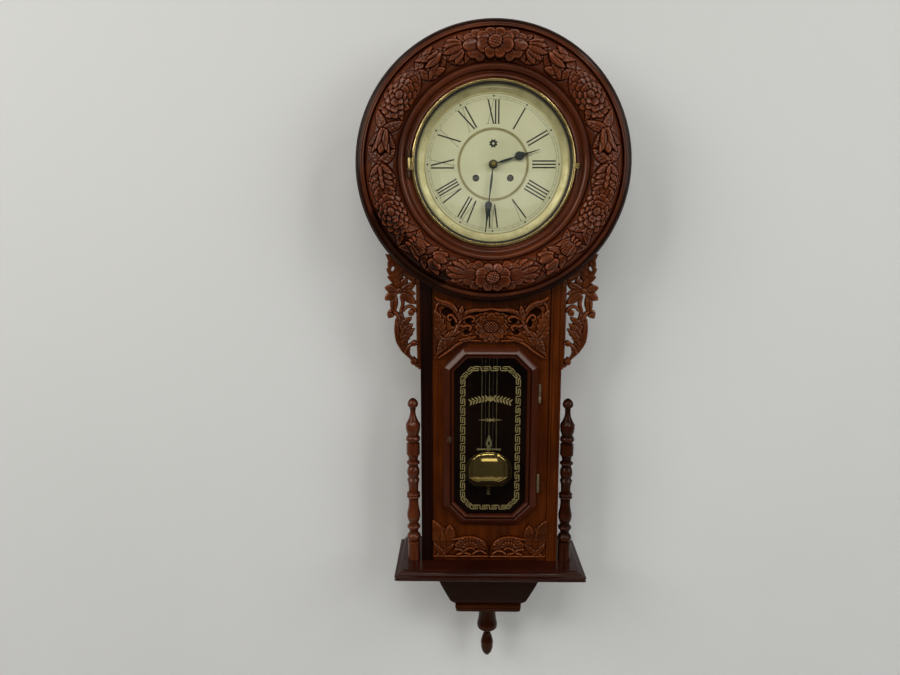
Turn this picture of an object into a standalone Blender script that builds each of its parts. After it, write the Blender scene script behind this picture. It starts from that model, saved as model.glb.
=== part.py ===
"""A spring-driven wall clock with a carved round head, a waisted trunk and a drop finial.

Metres, +Z up, +X to the right of someone facing the clock, and the wall at Y = 0.
The origin is on the back of the backboard, behind the centre of the dial.
Depths are given as distances forward of the wall, so a depth d is the plane Y = -d.
"""

import math

import bmesh
import bpy
from mathutils import Vector

GAP = 0.0003            # left between pieces that touch
ORIGIN = (0.0, 0.0, 0.0)
TURN = 2.0 * math.pi

# Case, from the wall forward
BOARD_DEPTH = 0.012
SIDE_FRONT = 0.088
PANEL_BACK = 0.085
PANEL_FRONT = 0.097
RING_BACK = 0.100
TRUNK_HALF = 0.123
SIDE_THICKNESS = 0.018
PILASTER_INNER = 0.1035
DRUM_OUTER = 0.1652
DRUM_INNER = 0.150
TRUNK_TOP = -0.171
SHELF_TOP = -0.705
SHELF_THICKNESS = 0.015
SHELF_HALF = 0.1705
SHELF_FRONT = 0.150
CONSOLE_BOTTOM = -0.800
LIP_TOP = -0.802
LIP_BOTTOM = -0.818
FINIAL_TIP = -0.929
FINIAL_DEPTH = 0.045

# Head ring and bezel, as radius and depth
HEAD_RADIUS = 0.2285
HEAD_SIDES = 48
BEZEL_RADIUS = 0.1342
BEZEL_BACK = 0.1163
BEZEL_HINGE_X = -0.1385
BEZEL_HINGE_DEPTH = 0.1215

# Door: an octagon of half width, half height and corner leg
DOOR_HALF = 0.0834
DOOR_TOP = -0.309
DOOR_BOTTOM = -0.634
DOOR_CORNER = 0.034
DOOR_MIDDLE = (DOOR_TOP + DOOR_BOTTOM) / 2.0
DOOR_HALF_HEIGHT = (DOOR_TOP - DOOR_BOTTOM) / 2.0
DOOR_BACK = PANEL_FRONT + GAP
OPENING_INSET = DOOR_HALF - 0.070
DOOR_HINGE_X = 0.0862
DOOR_HINGE_DEPTH = 0.1008
DOOR_HINGE_HEIGHTS = (-0.391, -0.5555)
KNOB_PLACE = (-0.0725, -0.471)

# Movement: plates, arbors and wheels
BACK_PLATE = (0.060, 0.062)
FRONT_PLATE = (0.092, 0.094)
PLATE_HALF = 0.060
PLATE_TOP = 0.078
PLATE_BOTTOM = -0.052
WINDING_X = 0.0285
WINDING_Z = -0.022
GREAT_TEETH = 48
CENTRE_PINION_TEETH = 12
CENTRE_TEETH = 48
SMALL_PINION_TEETH = 8
THIRD_TEETH = 40
ESCAPE_TEETH = 30
CANNON_TEETH = 12
MINUTE_TEETH = 36
MINUTE_PINION_TEETH = 10
HOUR_TEETH = 40
GREAT_MODULE = 0.0012
CENTRE_MODULE = 0.0010
THIRD_MODULE = 0.0009
CANNON_MODULE = 0.0010
HOUR_MODULE = CANNON_MODULE * (CANNON_TEETH + MINUTE_TEETH) / (MINUTE_PINION_TEETH + HOUR_TEETH)
THIRD_ANGLE = math.radians(120.0)
MINUTE_ANGLE = math.radians(45.0)
STRIKE_ANGLE = math.radians(115.5)
ESCAPE_RADIUS = 0.018
PALLET_RISE = 0.0255

# Dial, hands and pendulum
DIAL_RADIUS = 0.1274
DIAL_BACK = 0.1100
DIAL_FRONT = 0.1112
CENTRE_RING_RADIUS = 0.057
SIGHT_INNER = 0.113
SIGHT_OUTER = 0.1265
HOUR_HAND_ANGLE = 72.8
MINUTE_HAND_ANGLE = 186.3
PENDULUM_DEPTH = 0.050
ROD_SPACING = 0.0137
UPPER_BAR = -0.325
LOWER_BAR = -0.5095
BOB_TOP = -0.514
BOB_BOTTOM = -0.581
BOB_HALF = 0.0445

# Brackets, carvings and columns
BRACKET_BACK = 0.080
BRACKET_FRONT = 0.0925
CARVING_FRONT = 0.109
COLUMN_X = 0.138
COLUMN_DEPTH = 0.090


def clear_scene():
    for item in list(bpy.data.objects):
        bpy.data.objects.remove(item, do_unlink=True)


def finish(name, colour, roughness, metallic=0.0, alpha=1.0):
    """A Principled material."""
    made = bpy.data.materials.new(name)
    made.use_nodes = True
    shader = made.node_tree.nodes["Principled BSDF"]
    shader.inputs["Base Color"].default_value = (*colour, 1.0)
    shader.inputs["Roughness"].default_value = roughness
    shader.inputs["Metallic"].default_value = metallic
    shader.inputs["Alpha"].default_value = alpha
    return made


def pivot(name, x, depth, z):
    """An empty on a joint's axis, which the moving pieces hang from."""
    empty = bpy.data.objects.new(name, None)
    empty.location = (x, -depth, z)
    bpy.context.scene.collection.objects.link(empty)
    return empty


# Shapes: each function returns one closed body in a bmesh


def loft(rings, round_trip=False):
    """Rings of equal length joined in order, capped at both ends or closed on themselves."""
    body = bmesh.new()
    rows = [[body.verts.new(point) for point in ring] for ring in rings]
    count = len(rings[0])
    pairs = list(zip(rows, rows[1:]))
    if round_trip:
        pairs.append((rows[-1], rows[0]))
    else:
        body.faces.new(rows[0])
        body.faces.new(rows[-1])
    for lower, upper in pairs:
        for i in range(count):
            j = (i + 1) % count
            body.faces.new((lower[i], lower[j], upper[j], upper[i]))
    bmesh.ops.recalc_face_normals(body, faces=body.faces)
    return body


def slab(outline, back, front):
    """An outline of (x, z) points between two depths."""
    return loft([[(x, -depth, z) for x, z in outline] for depth in (back, front)])


def block(x, depth, z):
    """A box given by three (low, high) pairs."""
    corners = [(x[0], z[0]), (x[1], z[0]), (x[1], z[1]), (x[0], z[1])]
    return slab(corners, depth[0], depth[1])


def circle(radius, sides, centre=(0.0, 0.0), start=0.0):
    angles = (start + TURN * i / sides for i in range(sides))
    return [(centre[0] + radius * math.cos(a), centre[1] + radius * math.sin(a)) for a in angles]


def disc(radius, back, front, centre=(0.0, 0.0), sides=24):
    """A round slab that faces the room."""
    return slab(circle(radius, sides, centre), back, front)


def turned_ring(profile, sides, centre=(0.0, 0.0)):
    """A closed (radius, depth) profile turned about an axis that faces the room."""
    rings = []
    for radius, depth in profile:
        rings.append([(x, -depth, z) for x, z in circle(radius, sides, centre)])
    return loft(rings, round_trip=True)


def turned_knob(profile, sides, centre=(0.0, 0.0)):
    """An open (radius, depth) profile turned about an axis that faces the room, ends capped."""
    rings = [[(x, -depth, z) for x, z in circle(radius, sides, centre)] for radius, depth in profile]
    return loft(rings)


def turned_post(profile, sides, x, depth):
    """A (radius, z) profile turned about a vertical axis, ends capped."""
    rings = []
    for radius, z in profile:
        rings.append([(x + across, -depth + along, z) for across, along in circle(radius, sides)])
    return loft(rings)


def wire(points, radius, sides=8, flat=1.0):
    """A bar of round or flattened section along a path, ends capped."""
    path = [Vector(point) for point in points]
    rings = []
    for i, point in enumerate(path):
        along = (path[min(i + 1, len(path) - 1)] - path[max(i - 1, 0)]).normalized()
        side = along.cross(Vector((0.0, 1.0, 0.0)))
        side = side.normalized() if side.length > 0.01 else Vector((1.0, 0.0, 0.0))
        other = along.cross(side).normalized() * flat
        rings.append([point + radius * (side * c + other * s) for c, s in circle(1.0, sides)])
    return loft(rings)


def octagon(inset):
    """The door's outline moved inwards by a distance."""
    half = DOOR_HALF - inset
    height = DOOR_HALF_HEIGHT - inset
    corner = DOOR_CORNER - inset * (2.0 - math.sqrt(2.0))
    quarter = [(half, height - corner), (half - corner, height)]
    right = quarter + [(-x, z) for x, z in reversed(quarter)]
    points = right + [(-x, -z) for x, z in right]
    return [(x, DOOR_MIDDLE + z) for x, z in points]


def octagon_frame(profile):
    """A closed (inset, depth) profile carried round the door's outline."""
    return loft([[(x, -depth, z) for x, z in octagon(inset)] for inset, depth in profile], True)


def gear_outline(teeth, module, centre, phase):
    """Pointed teeth, thin enough to leave backlash, with one tooth centred on the phase."""
    pitch = TURN / teeth
    root = module * (teeth / 2.0 - 1.2)
    tip = module * (teeth / 2.0 + 0.75)
    marks = ((0.0, tip), (0.5, root))
    points = []
    for i in range(teeth):
        for share, radius in marks:
            angle = phase + (i + share) * pitch
            points.append((centre[0] + radius * math.cos(angle), centre[1] + radius * math.sin(angle)))
    return points


def gear(teeth, module, back, front, centre, phase=0.0):
    return slab(gear_outline(teeth, module, centre, phase), back, front)


def meshing_phase(from_teeth, from_phase, to_teeth, direction):
    """The phase that puts a gap of the second gear where the first gear has a tooth."""
    first_pitch = TURN / from_teeth
    second_pitch = TURN / to_teeth
    share = ((direction - from_phase) % first_pitch) / first_pitch
    return direction + math.pi + (share + 0.5) * second_pitch


def spoke_gaps(inner, outer, back, front, centre, spokes=4, half_spoke=0.0018):
    """Cutters for the windows between a wheel's spokes."""
    cutters = []
    for i in range(spokes):
        low = TURN * i / spokes + half_spoke / inner
        high = TURN * (i + 1) / spokes - half_spoke / inner
        outer_low = TURN * i / spokes + half_spoke / outer
        outer_high = TURN * (i + 1) / spokes - half_spoke / outer
        steps = 4
        arc = [(outer, outer_low + (outer_high - outer_low) * k / steps) for k in range(steps + 1)]
        arc += [(inner, high), (inner, low)]
        outline = [(centre[0] + r * math.cos(a), centre[1] + r * math.sin(a)) for r, a in arc]
        cutters.append(slab(outline, back - 0.001, front + 0.001))
    return cutters


# Objects


def object_of(name, body, shift):
    """A bmesh made into an object, its points measured from the shift."""
    mesh = bpy.data.meshes.new(name)
    bmesh.ops.translate(body, verts=body.verts, vec=-shift)
    body.to_mesh(mesh)
    body.free()
    made = bpy.data.objects.new(name, mesh)
    bpy.context.scene.collection.objects.link(made)
    return made


def combined(target, body, operation, shift):
    """Adds or cuts one body with an exact Boolean, and keeps the result as the object's mesh."""
    tool = object_of("tool", body, shift)
    modifier = target.modifiers.new(operation.title(), "BOOLEAN")
    modifier.operation = operation
    modifier.solver = "EXACT"
    modifier.object = tool
    bpy.context.view_layer.update()
    graph = bpy.context.evaluated_depsgraph_get()
    result = bpy.data.meshes.new_from_object(target.evaluated_get(graph))
    target.modifiers.clear()
    target.data = result
    bpy.data.objects.remove(tool, do_unlink=True)


def piece(name, material, bodies, cutters=(), parent=None):
    """One named sub-part: its bodies joined, its cutters taken away, on its parent's axis."""
    shift = Vector(parent.location) if parent else Vector(ORIGIN)
    made = object_of(name, bodies[0], shift)
    for body in bodies[1:]:
        combined(made, body, "UNION", shift)
    for cutter in cutters:
        combined(made, cutter, "DIFFERENCE", shift)
    made.data.name = name
    made.data.materials.clear()
    made.data.materials.append(material)
    made.data.shade_smooth()
    made.data.set_sharp_from_angle(angle=math.radians(32.0))
    made.parent = parent
    return made


def mirrored(outline, side):
    return [(side * x, z) for x, z in outline]


# Case


def backboard(wood):
    shoulder = math.asin(TRUNK_HALF / DRUM_OUTER)
    steps = 36
    outline = []
    for i in range(steps + 1):
        angle = -math.pi / 2 + shoulder + (TURN - 2 * shoulder) * i / steps
        outline.append((DRUM_OUTER * math.cos(angle), DRUM_OUTER * math.sin(angle)))
    left_side = [(-TRUNK_HALF, SHELF_TOP - SHELF_THICKNESS), (-0.100, -0.722), (-0.062, CONSOLE_BOTTOM)]
    outline += left_side + [(-x, z) for x, z in reversed(left_side)]
    pocket = block((-0.0203, 0.0203), (-0.001, 0.0026), (0.0997, 0.1403))
    nail_room = block((-0.006, 0.006), (0.002, 0.008), (0.106, 0.134))
    piece("backboard", wood, [slab(outline, 0.0, BOARD_DEPTH)], [pocket, nail_room])


def hanger_plate(steel):
    plate = block((-0.020, 0.020), (0.0003, 0.0023), (0.100, 0.140))
    eye = disc(0.0050, -0.001, 0.004, (0.0, 0.112), 16)
    slot = block((-0.0024, 0.0024), (-0.001, 0.004), (0.112, 0.131))
    piece("hanger_plate", steel, [plate], [eye, slot])


def case_sides(wood):
    back = BOARD_DEPTH + GAP
    for name, side in (("case_side_left", -1), ("case_side_right", 1)):
        x = sorted((side * TRUNK_HALF, side * (TRUNK_HALF - SIDE_THICKNESS)))
        piece(name, wood, [block(x, (back, SIDE_FRONT), (SHELF_TOP + GAP, -0.129))])


def head_drum(wood):
    back = BOARD_DEPTH + GAP
    profile = [(DRUM_INNER, back), (DRUM_OUTER - 0.0004, back)]
    profile += [(radius, RING_BACK - GAP) for radius, _ in reversed(profile)]
    pendulum_way = block((-0.100, 0.100), (0.0, 0.12), (-0.2, -0.08))
    piece("head_drum", wood, [turned_ring(profile, 48)], [pendulum_way])


def trunk_panel(wood):
    edge = PILASTER_INNER - 0.001
    front = block((-edge, edge), (PANEL_BACK, PANEL_FRONT), (SHELF_TOP + GAP, TRUNK_TOP))
    window = slab(octagon(OPENING_INSET), PANEL_BACK - 0.002, PANEL_FRONT + 0.002)
    piece("trunk_panel", wood, [front], [window])


def pilasters(wood):
    low = SHELF_TOP + GAP
    for name, side in (("pilaster_left", -1), ("pilaster_right", 1)):
        flutes = []
        for place in (0.1075, 0.119):
            flutes.append(block(sorted((side * (place - 0.0006), side * (place + 0.0006))), (0.0985, 0.101),
                                (low - 0.001, TRUNK_TOP + 0.001)))
        x = sorted((side * PILASTER_INNER, side * TRUNK_HALF))
        strip = block(x, (SIDE_FRONT + GAP, RING_BACK - GAP), (low, TRUNK_TOP))
        piece(name, wood, [strip], flutes)


def head_ring(wood):
    profile = [
        (0.1280, RING_BACK), (0.2260, RING_BACK), (HEAD_RADIUS, 0.104), (HEAD_RADIUS, 0.110),
        (0.2210, 0.118),
        (0.2190, 0.124), (0.2150, 0.127), (0.2100, 0.1275), (0.1980, 0.1430), (0.1840, 0.1465),
        (0.1700, 0.1430), (0.1570, 0.128), (0.1500, 0.122), (0.1440, 0.117), (0.1380, 0.118),
        (0.1345, 0.116),
        (0.1280, 0.116),
    ]
    piece("head_ring", wood, [turned_ring(profile, HEAD_SIDES)])


def shelf(wood):
    """A moulded board, notched at the back for the backboard."""
    notch = TRUNK_HALF + GAP
    rings = []
    bottom = SHELF_TOP - SHELF_THICKNESS
    for z, inset in ((SHELF_TOP, 0.0160), (SHELF_TOP - 0.0015, 0.0150), (SHELF_TOP - 0.0045, 0.0080),
                     (SHELF_TOP - 0.0065, 0.0070), (SHELF_TOP - 0.0070, 0.0020), (SHELF_TOP - 0.0100, 0.0),
                     (bottom + 0.0015, 0.0015), (bottom, 0.0030)):
        half = SHELF_HALF - inset
        front = -(SHELF_FRONT - inset)
        rings.append([(-half, -GAP, z), (-half, front, z), (half, front, z), (half, -GAP, z),
                      (notch, -GAP, z), (notch, -BOARD_DEPTH - GAP, z),
                      (-notch, -BOARD_DEPTH - GAP, z), (-notch, -GAP, z)])
    piece("shelf", wood, [loft(rings)])


def console(wood):
    """A tapering bracket under the shelf, with its lower corners rounded."""
    top = SHELF_TOP - SHELF_THICKNESS - GAP
    rings = []
    for z, half, front in ((top, 0.103, 0.100), (-0.7265, 0.1015, 0.099), (-0.7600, 0.0880, 0.0935),
                           (-0.7840, 0.0765, 0.0885), (-0.7940, 0.0715, 0.0865),
                           (CONSOLE_BOTTOM, 0.0650, 0.082)):
        back = BOARD_DEPTH + GAP
        chamfer = 0.004
        rings.append([(-half, -back, z), (-half, -front + chamfer, z), (-half + chamfer, -front, z),
                      (half - chamfer, -front, z), (half, -front + chamfer, z), (half, -back, z)])
    piece("console", wood, [loft(rings)])


def console_lip(wood):
    rings = []
    for z, inset in ((LIP_TOP + 0.0012, 0.003), (-0.804, 0.0), (-0.808, 0.0), (-0.811, 0.003),
                     (-0.816, 0.006), (LIP_BOTTOM, 0.009)):
        half = 0.062 - inset
        front = 0.085 - inset
        rings.append([(-half, -GAP, z), (-half, -front, z), (half, -front, z), (half, -GAP, z)])
    piece("console_lip", wood, [loft(rings)])


def drop_finial(wood):
    profile = [
        (0.0095, LIP_BOTTOM - GAP), (0.0125, -0.8225), (0.0134, -0.8300), (0.0138, -0.8470),
        (0.0168, -0.8600), (0.0188, -0.8670), (0.0175, -0.8715), (0.0060, -0.8740), (0.0034, -0.8755),
        (0.0060, -0.8810), (0.0098, -0.8920), (0.0114, -0.9040), (0.0102, -0.9150), (0.0060, -0.9245),
        (0.0010, FINIAL_TIP),
    ]
    piece("drop_finial", wood, [turned_post(profile, 20, 0.0, FINIAL_DEPTH)])


def columns(wood):
    profile = [
        (0.0030, -0.4017), (0.0095, -0.4090), (0.0095, -0.4130), (0.0050, -0.4215), (0.0060, -0.4260),
        (0.0129, -0.4490), (0.0093, -0.4700), (0.0119, -0.4730), (0.0119, -0.4800), (0.0095, -0.4835),
        (0.0120, -0.4855), (0.0120, -0.5050), (0.0085, -0.5165), (0.0117, -0.5210), (0.0085, -0.5270),
        (0.0115, -0.5390), (0.0090, -0.5480), (0.0113, -0.5530), (0.0090, -0.5755), (0.0120, -0.5785),
        (0.0120, -0.5865), (0.0090, -0.5890), (0.0118, -0.6155), (0.0085, -0.6365), (0.0120, -0.6430),
        (0.0085, -0.6535), (0.0115, -0.6570), (0.0115, -0.6685), (0.0110, -0.6730),
        (0.0110, SHELF_TOP + GAP),
    ]
    for name, side in (("column_left", -1), ("column_right", 1)):
        piece(name, wood, [turned_post(profile, 10, side * COLUMN_X, COLUMN_DEPTH)])


def side_brackets(wood):
    """Pierced brackets between the ring and the trunk's sides, given for the right side."""
    edge = TRUNK_HALF + GAP
    outline = [
        (edge, -0.190), (0.1321, -0.1905), (0.1560, -0.1710), (0.1836, -0.1475), (0.1894, -0.1591),
        (0.1890, -0.1720), (0.1843, -0.1803), (0.1727, -0.1964), (0.1836, -0.2060), (0.1890, -0.2150),
        (0.1843, -0.2260), (0.1700, -0.2340), (0.1715, -0.2450), (0.1742, -0.2534), (0.1662, -0.2637),
        (0.1648, -0.2783), (0.1611, -0.3002), (0.1539, -0.3192), (0.1416, -0.3309), (0.1394, -0.3412),
        (0.1360, -0.3470), (edge, -0.3477),
    ]
    upper_hole = [(0.1310, -0.2080), (0.1400, -0.2150), (0.1340, -0.2330), (0.1310, -0.2400)]
    middle_hole = [(0.1450, -0.2490), (0.1540, -0.2560), (0.1510, -0.2900), (0.1440, -0.3000),
                   (0.1390, -0.2700)]
    lower_hole = [(0.1310, -0.3080), (0.1400, -0.3110), (0.1370, -0.3260), (0.1310, -0.3290)]
    for name, side in (("side_bracket_left", -1), ("side_bracket_right", 1)):
        holes = []
        for hole in (upper_hole, middle_hole, lower_hole):
            holes.append(slab(mirrored(hole, side), BRACKET_BACK - 0.002, BRACKET_FRONT + 0.002))
        piece(name, wood, [slab(mirrored(outline, side), BRACKET_BACK, BRACKET_FRONT)], holes)


def upper_carving(wood):
    """The relief between the ring and the door, with a flower at its middle."""
    half = [
        (0.0, -0.2390), (0.0250, -0.2420), (0.0500, -0.2380), (0.0750, -0.2290), (0.0980, -0.2200),
        (0.0990, -0.2400), (0.0965, -0.2600), (0.0985, -0.2850), (0.0990, -0.3270), (0.0900, -0.3280),
        (0.0800, -0.3130), (0.0600, -0.3030), (0.0300, -0.3010), (0.0120, -0.3000),
    ]
    outline = half + [(-x, z) for x, z in reversed(half[1:])]
    flower = [(0.028, PANEL_FRONT + 0.004), (0.026, 0.105), (0.012, 0.107), (0.010, CARVING_FRONT)]
    ground = slab(outline, PANEL_FRONT + GAP, 0.1045)
    boss = turned_knob(flower, 20, (0.0, -0.272))
    piece("upper_carving", wood, [ground, boss])


def lower_carvings(wood):
    """A mirrored pair at the foot of the trunk, given for the right side."""
    outline = [
        (0.1020, -0.6970), (0.0020, -0.6970), (0.0020, -0.6900), (0.0120, -0.6840), (0.0200, -0.6680),
        (0.0300, -0.6575), (0.0390, -0.6550), (0.0520, -0.6590), (0.0600, -0.6500), (0.0660, -0.6400),
        (0.0730, -0.6330), (0.0800, -0.6410), (0.0880, -0.6300), (0.0980, -0.6240), (0.1020, -0.6270),
    ]
    dome = [(0.018, PANEL_FRONT + 0.004), (0.016, 0.105), (0.008, 0.1085)]
    for name, side in (("lower_carving_left", -1), ("lower_carving_right", 1)):
        ground = slab(mirrored(outline, side), PANEL_FRONT + GAP, 0.1045)
        boss = turned_knob(dome, 16, (side * 0.037, -0.676))
        piece(name, wood, [ground, boss])


# Door and bezel


def door_pieces(wood, brass, glass):
    hinge = pivot("door_axis", DOOR_HINGE_X, DOOR_HINGE_DEPTH, DOOR_MIDDLE)
    profile = [
        (0.0000, DOOR_BACK), (0.0000, 0.1008), (0.0030, 0.1018), (0.0070, 0.1050), (0.0104, 0.1072),
        (0.0130, 0.1060), (0.0150, 0.1020), (0.0170, 0.1025), (0.0185, 0.1010), (0.0200, 0.0975),
        (0.0200, 0.0930), (0.0148, 0.0930), (0.0148, DOOR_BACK),
    ]
    pane_room = octagon_frame([(0.0180, 0.092), (0.0180, 0.0962), (0.0210, 0.0962), (0.0210, 0.092)])
    piece("door_frame", wood, [octagon_frame(profile)], [pane_room], parent=hinge)
    pane = slab(octagon(0.0184), 0.0934, 0.0958)
    piece("door_glass", glass, [pane], parent=hinge)
    knob = [(0.0040, 0.1078), (0.0040, 0.1088), (0.0020, 0.1096), (0.0018, 0.1125), (0.0038, 0.1145),
            (0.0046, 0.1170), (0.0036, 0.1195), (0.0012, 0.1203)]
    piece("door_knob", brass, [turned_knob(knob, 16, KNOB_PLACE)], parent=hinge)
    for name, z in zip(("upper", "lower"), DOOR_HINGE_HEIGHTS):
        door_hinge(name, z, hinge, brass)


def door_hinge(which, z, hinge, brass):
    """A butt hinge: two outer knuckles on the panel's leaf, one middle knuckle on the door's."""
    radius = 0.0023
    leaf_back = PANEL_FRONT + GAP
    leaf = block((DOOR_HINGE_X, 0.0985), (leaf_back, leaf_back + 0.0009), (z - 0.016, z + 0.016))
    pin = turned_post([(0.0010, z - 0.0165), (0.0010, z + 0.0165)], 8, DOOR_HINGE_X, DOOR_HINGE_DEPTH)
    outer = []
    for side in (-1, 1):
        span = sorted((z + side * 0.0055, z + side * 0.016))
        outer.append(turned_post([(radius, span[0]), (radius, span[1])], 12, DOOR_HINGE_X, DOOR_HINGE_DEPTH))
        root = (DOOR_HINGE_X - 0.0008, DOOR_HINGE_X + 0.0012)
        reach = (span[0] + 0.0004, span[1] - 0.0004)
        outer.append(block(root, (leaf_back + 0.0002, DOOR_HINGE_DEPTH), reach))
    piece(f"door_hinge_{which}", brass, [leaf, *outer, pin])
    middle = turned_post([(radius, z - 0.0052), (radius, z + 0.0052)], 12, DOOR_HINGE_X, DOOR_HINGE_DEPTH)
    tab = block((DOOR_HALF + GAP, DOOR_HINGE_X - 0.0014), (0.0986, 0.1006), (z - 0.0052, z + 0.0052))
    bore = turned_post([(0.0013, z - 0.01), (0.0013, z + 0.01)], 8, DOOR_HINGE_X, DOOR_HINGE_DEPTH)
    piece(f"door_knuckle_{which}", brass, [middle, tab], [bore], parent=hinge)


def bezel_pieces(brass, glass):
    hinge = pivot("bezel_axis", BEZEL_HINGE_X, BEZEL_HINGE_DEPTH, 0.0)
    profile = [
        (0.1270, BEZEL_BACK), (BEZEL_RADIUS, BEZEL_BACK), (BEZEL_RADIUS, 0.1192), (0.1330, 0.1222),
        (0.1310, 0.1238), (0.1290, 0.1232), (0.1272, 0.1216), (0.1262, 0.1206), (0.1262, 0.1196),
        (0.1290, 0.1196), (0.1290, 0.1172), (0.1270, 0.1172),
    ]
    radius = 0.0024
    tab = block((BEZEL_RADIUS - 0.003, BEZEL_RADIUS + 0.0065), (0.1190, 0.1206), (-0.0080, 0.0010))
    lip_place = (BEZEL_RADIUS + 0.0055, -0.0035)
    lip = turned_knob([(0.0022, 0.1192), (0.0022, 0.1222), (0.0012, 0.1230)], 12, lip_place)
    middle = turned_post([(radius, -0.0099), (radius, 0.0099)], 12, BEZEL_HINGE_X, BEZEL_HINGE_DEPTH)
    arm = block((BEZEL_HINGE_X, 0.002 - BEZEL_RADIUS), (0.1191, 0.1207), (-0.0099, 0.0099))
    bore = turned_post([(0.0013, -0.012), (0.0013, 0.012)], 8, BEZEL_HINGE_X, BEZEL_HINGE_DEPTH)
    ring = turned_ring(profile, HEAD_SIDES)
    piece("bezel_ring", brass, [ring, tab, lip, middle, arm], [bore], parent=hinge)
    pane = [(0.0010, 0.1236), (0.0900, 0.1216), (0.1230, 0.1186), (0.1258, 0.1176), (0.1285, 0.1176),
            (0.1285, 0.1192), (0.1258, 0.1192), (0.1230, 0.1204), (0.0900, 0.1234), (0.0010, 0.1254)]
    piece("bezel_glass", glass, [turned_knob(pane, 32)], parent=hinge)
    ends = []
    for side in (-1, 1):
        span = sorted((side * 0.0103, side * 0.0220))
        profile = [(radius, span[0]), (radius, span[1])]
        ends.append(turned_post(profile, 12, BEZEL_HINGE_X, BEZEL_HINGE_DEPTH))
    leaf = block((-0.1425, BEZEL_HINGE_X), (0.1188, 0.1198), (-0.0220, 0.0220))
    pin = turned_post([(0.0010, -0.0225), (0.0010, 0.0225)], 8, BEZEL_HINGE_X, BEZEL_HINGE_DEPTH)
    room = block((-0.1440, -0.1350), (0.1184, 0.1235), (-0.0102, 0.0102))
    kept_leaf = block((-0.1425, -0.1412), (0.1188, 0.1198), (-0.0110, 0.0110))
    kept_pin = turned_post([(0.0010, -0.0110), (0.0010, 0.0110)], 8, BEZEL_HINGE_X, BEZEL_HINGE_DEPTH)
    hinge_bodies = [leaf, *ends, pin]
    made = piece("bezel_hinge", brass, hinge_bodies, [room])
    combined(made, kept_leaf, "UNION", Vector(ORIGIN))
    combined(made, kept_pin, "UNION", Vector(ORIGIN))


# Dial and hands


def dial_pieces(painted, brass):
    plate = disc(DIAL_RADIUS, DIAL_BACK, DIAL_FRONT, sides=HEAD_SIDES)
    feet = []
    for angle in (math.radians(90), math.radians(215), math.radians(325)):
        place = (0.056 * math.cos(angle), 0.056 * math.sin(angle))
        feet.append(disc(0.002, FRONT_PLATE[1] + GAP, DIAL_BACK + 0.0005, place, 8))
    holes = [disc(0.0060, DIAL_BACK - 0.002, DIAL_FRONT + 0.002, sides=16)]
    for side in (-1, 1):
        holes.append(disc(0.0047, DIAL_BACK - 0.002, DIAL_FRONT + 0.002, (side * WINDING_X, WINDING_Z), 16))
    piece("dial_plate", painted, [plate, *feet], holes)
    low = DIAL_FRONT + GAP
    high = low + 0.0006
    half_width = 0.002
    ring = [(CENTRE_RING_RADIUS - half_width, low), (CENTRE_RING_RADIUS + half_width, low)]
    ring += [(radius, high) for radius, _ in reversed(ring)]
    piece("dial_centre_ring", brass, [turned_ring(ring, 48)])
    cone = [(SIGHT_INNER, low), (SIGHT_INNER + 0.001, low), (SIGHT_OUTER, 0.1152), (SIGHT_OUTER, 0.1160)]
    piece("sight_ring", brass, [turned_ring(cone, HEAD_SIDES)])


def along(angle, place):
    """A point given along and across a hand turned clockwise from twelve by an angle in degrees."""
    distance, across = place
    turn = math.radians(angle)
    x = distance * math.sin(turn) + across * math.cos(turn)
    z = distance * math.cos(turn) - across * math.sin(turn)
    return (x, z)


def hand_outline(length, bulb_at, bulb, stem, angle, steps=10):
    """A spade hand: a stem, a long bulb and a thin tip."""
    half = [(0.004, stem), (bulb_at - 2.6 * bulb, stem * 0.8)]
    for i in range(1, steps):
        t = i / steps
        across = stem * 0.7 + bulb * math.sin(math.pi * t) ** 1.2
        half.append((bulb_at - 2.6 * bulb + 4.4 * bulb * t, across))
    half += [(bulb_at + 1.9 * bulb, stem * 0.6), (length, 0.0004)]
    points = half + [(distance, -across) for distance, across in reversed(half)]
    return [along(angle, point) for point in points]


def arbor(radius, back, front, centre, sides=12):
    return disc(radius, back, front, centre, sides)


def hands(steel, brass, minute_axis, hour_axis):
    minute = slab(hand_outline(0.112, 0.068, 0.0055, 0.0018, MINUTE_HAND_ANGLE), 0.1176, 0.1186)
    collar = disc(0.0060, 0.1174, 0.1188, sides=16)
    bore = disc(0.0025, 0.116, 0.120, sides=12)
    piece("minute_hand", steel, [collar, minute], [bore], parent=minute_axis)
    hour = slab(hand_outline(0.079, 0.046, 0.0075, 0.0022, HOUR_HAND_ANGLE), 0.1147, 0.1158)
    wide_collar = disc(0.0080, 0.1145, 0.1160, sides=16)
    wide_bore = disc(0.0048, 0.113, 0.118, sides=16)
    piece("hour_hand", steel, [wide_collar, hour], [wide_bore], parent=hour_axis)
    nut = turned_knob([(0.0052, 0.1191), (0.0052, 0.1202), (0.0040, 0.1214), (0.0028, 0.1216)], 16)
    nut_bore = disc(0.0016, 0.118, 0.123, sides=8)
    piece("hand_nut", brass, [nut], [nut_bore], parent=minute_axis)


# Movement


def polar(centre, angle, distance):
    return (centre[0] + distance * math.cos(angle), centre[1] + distance * math.sin(angle))


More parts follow.
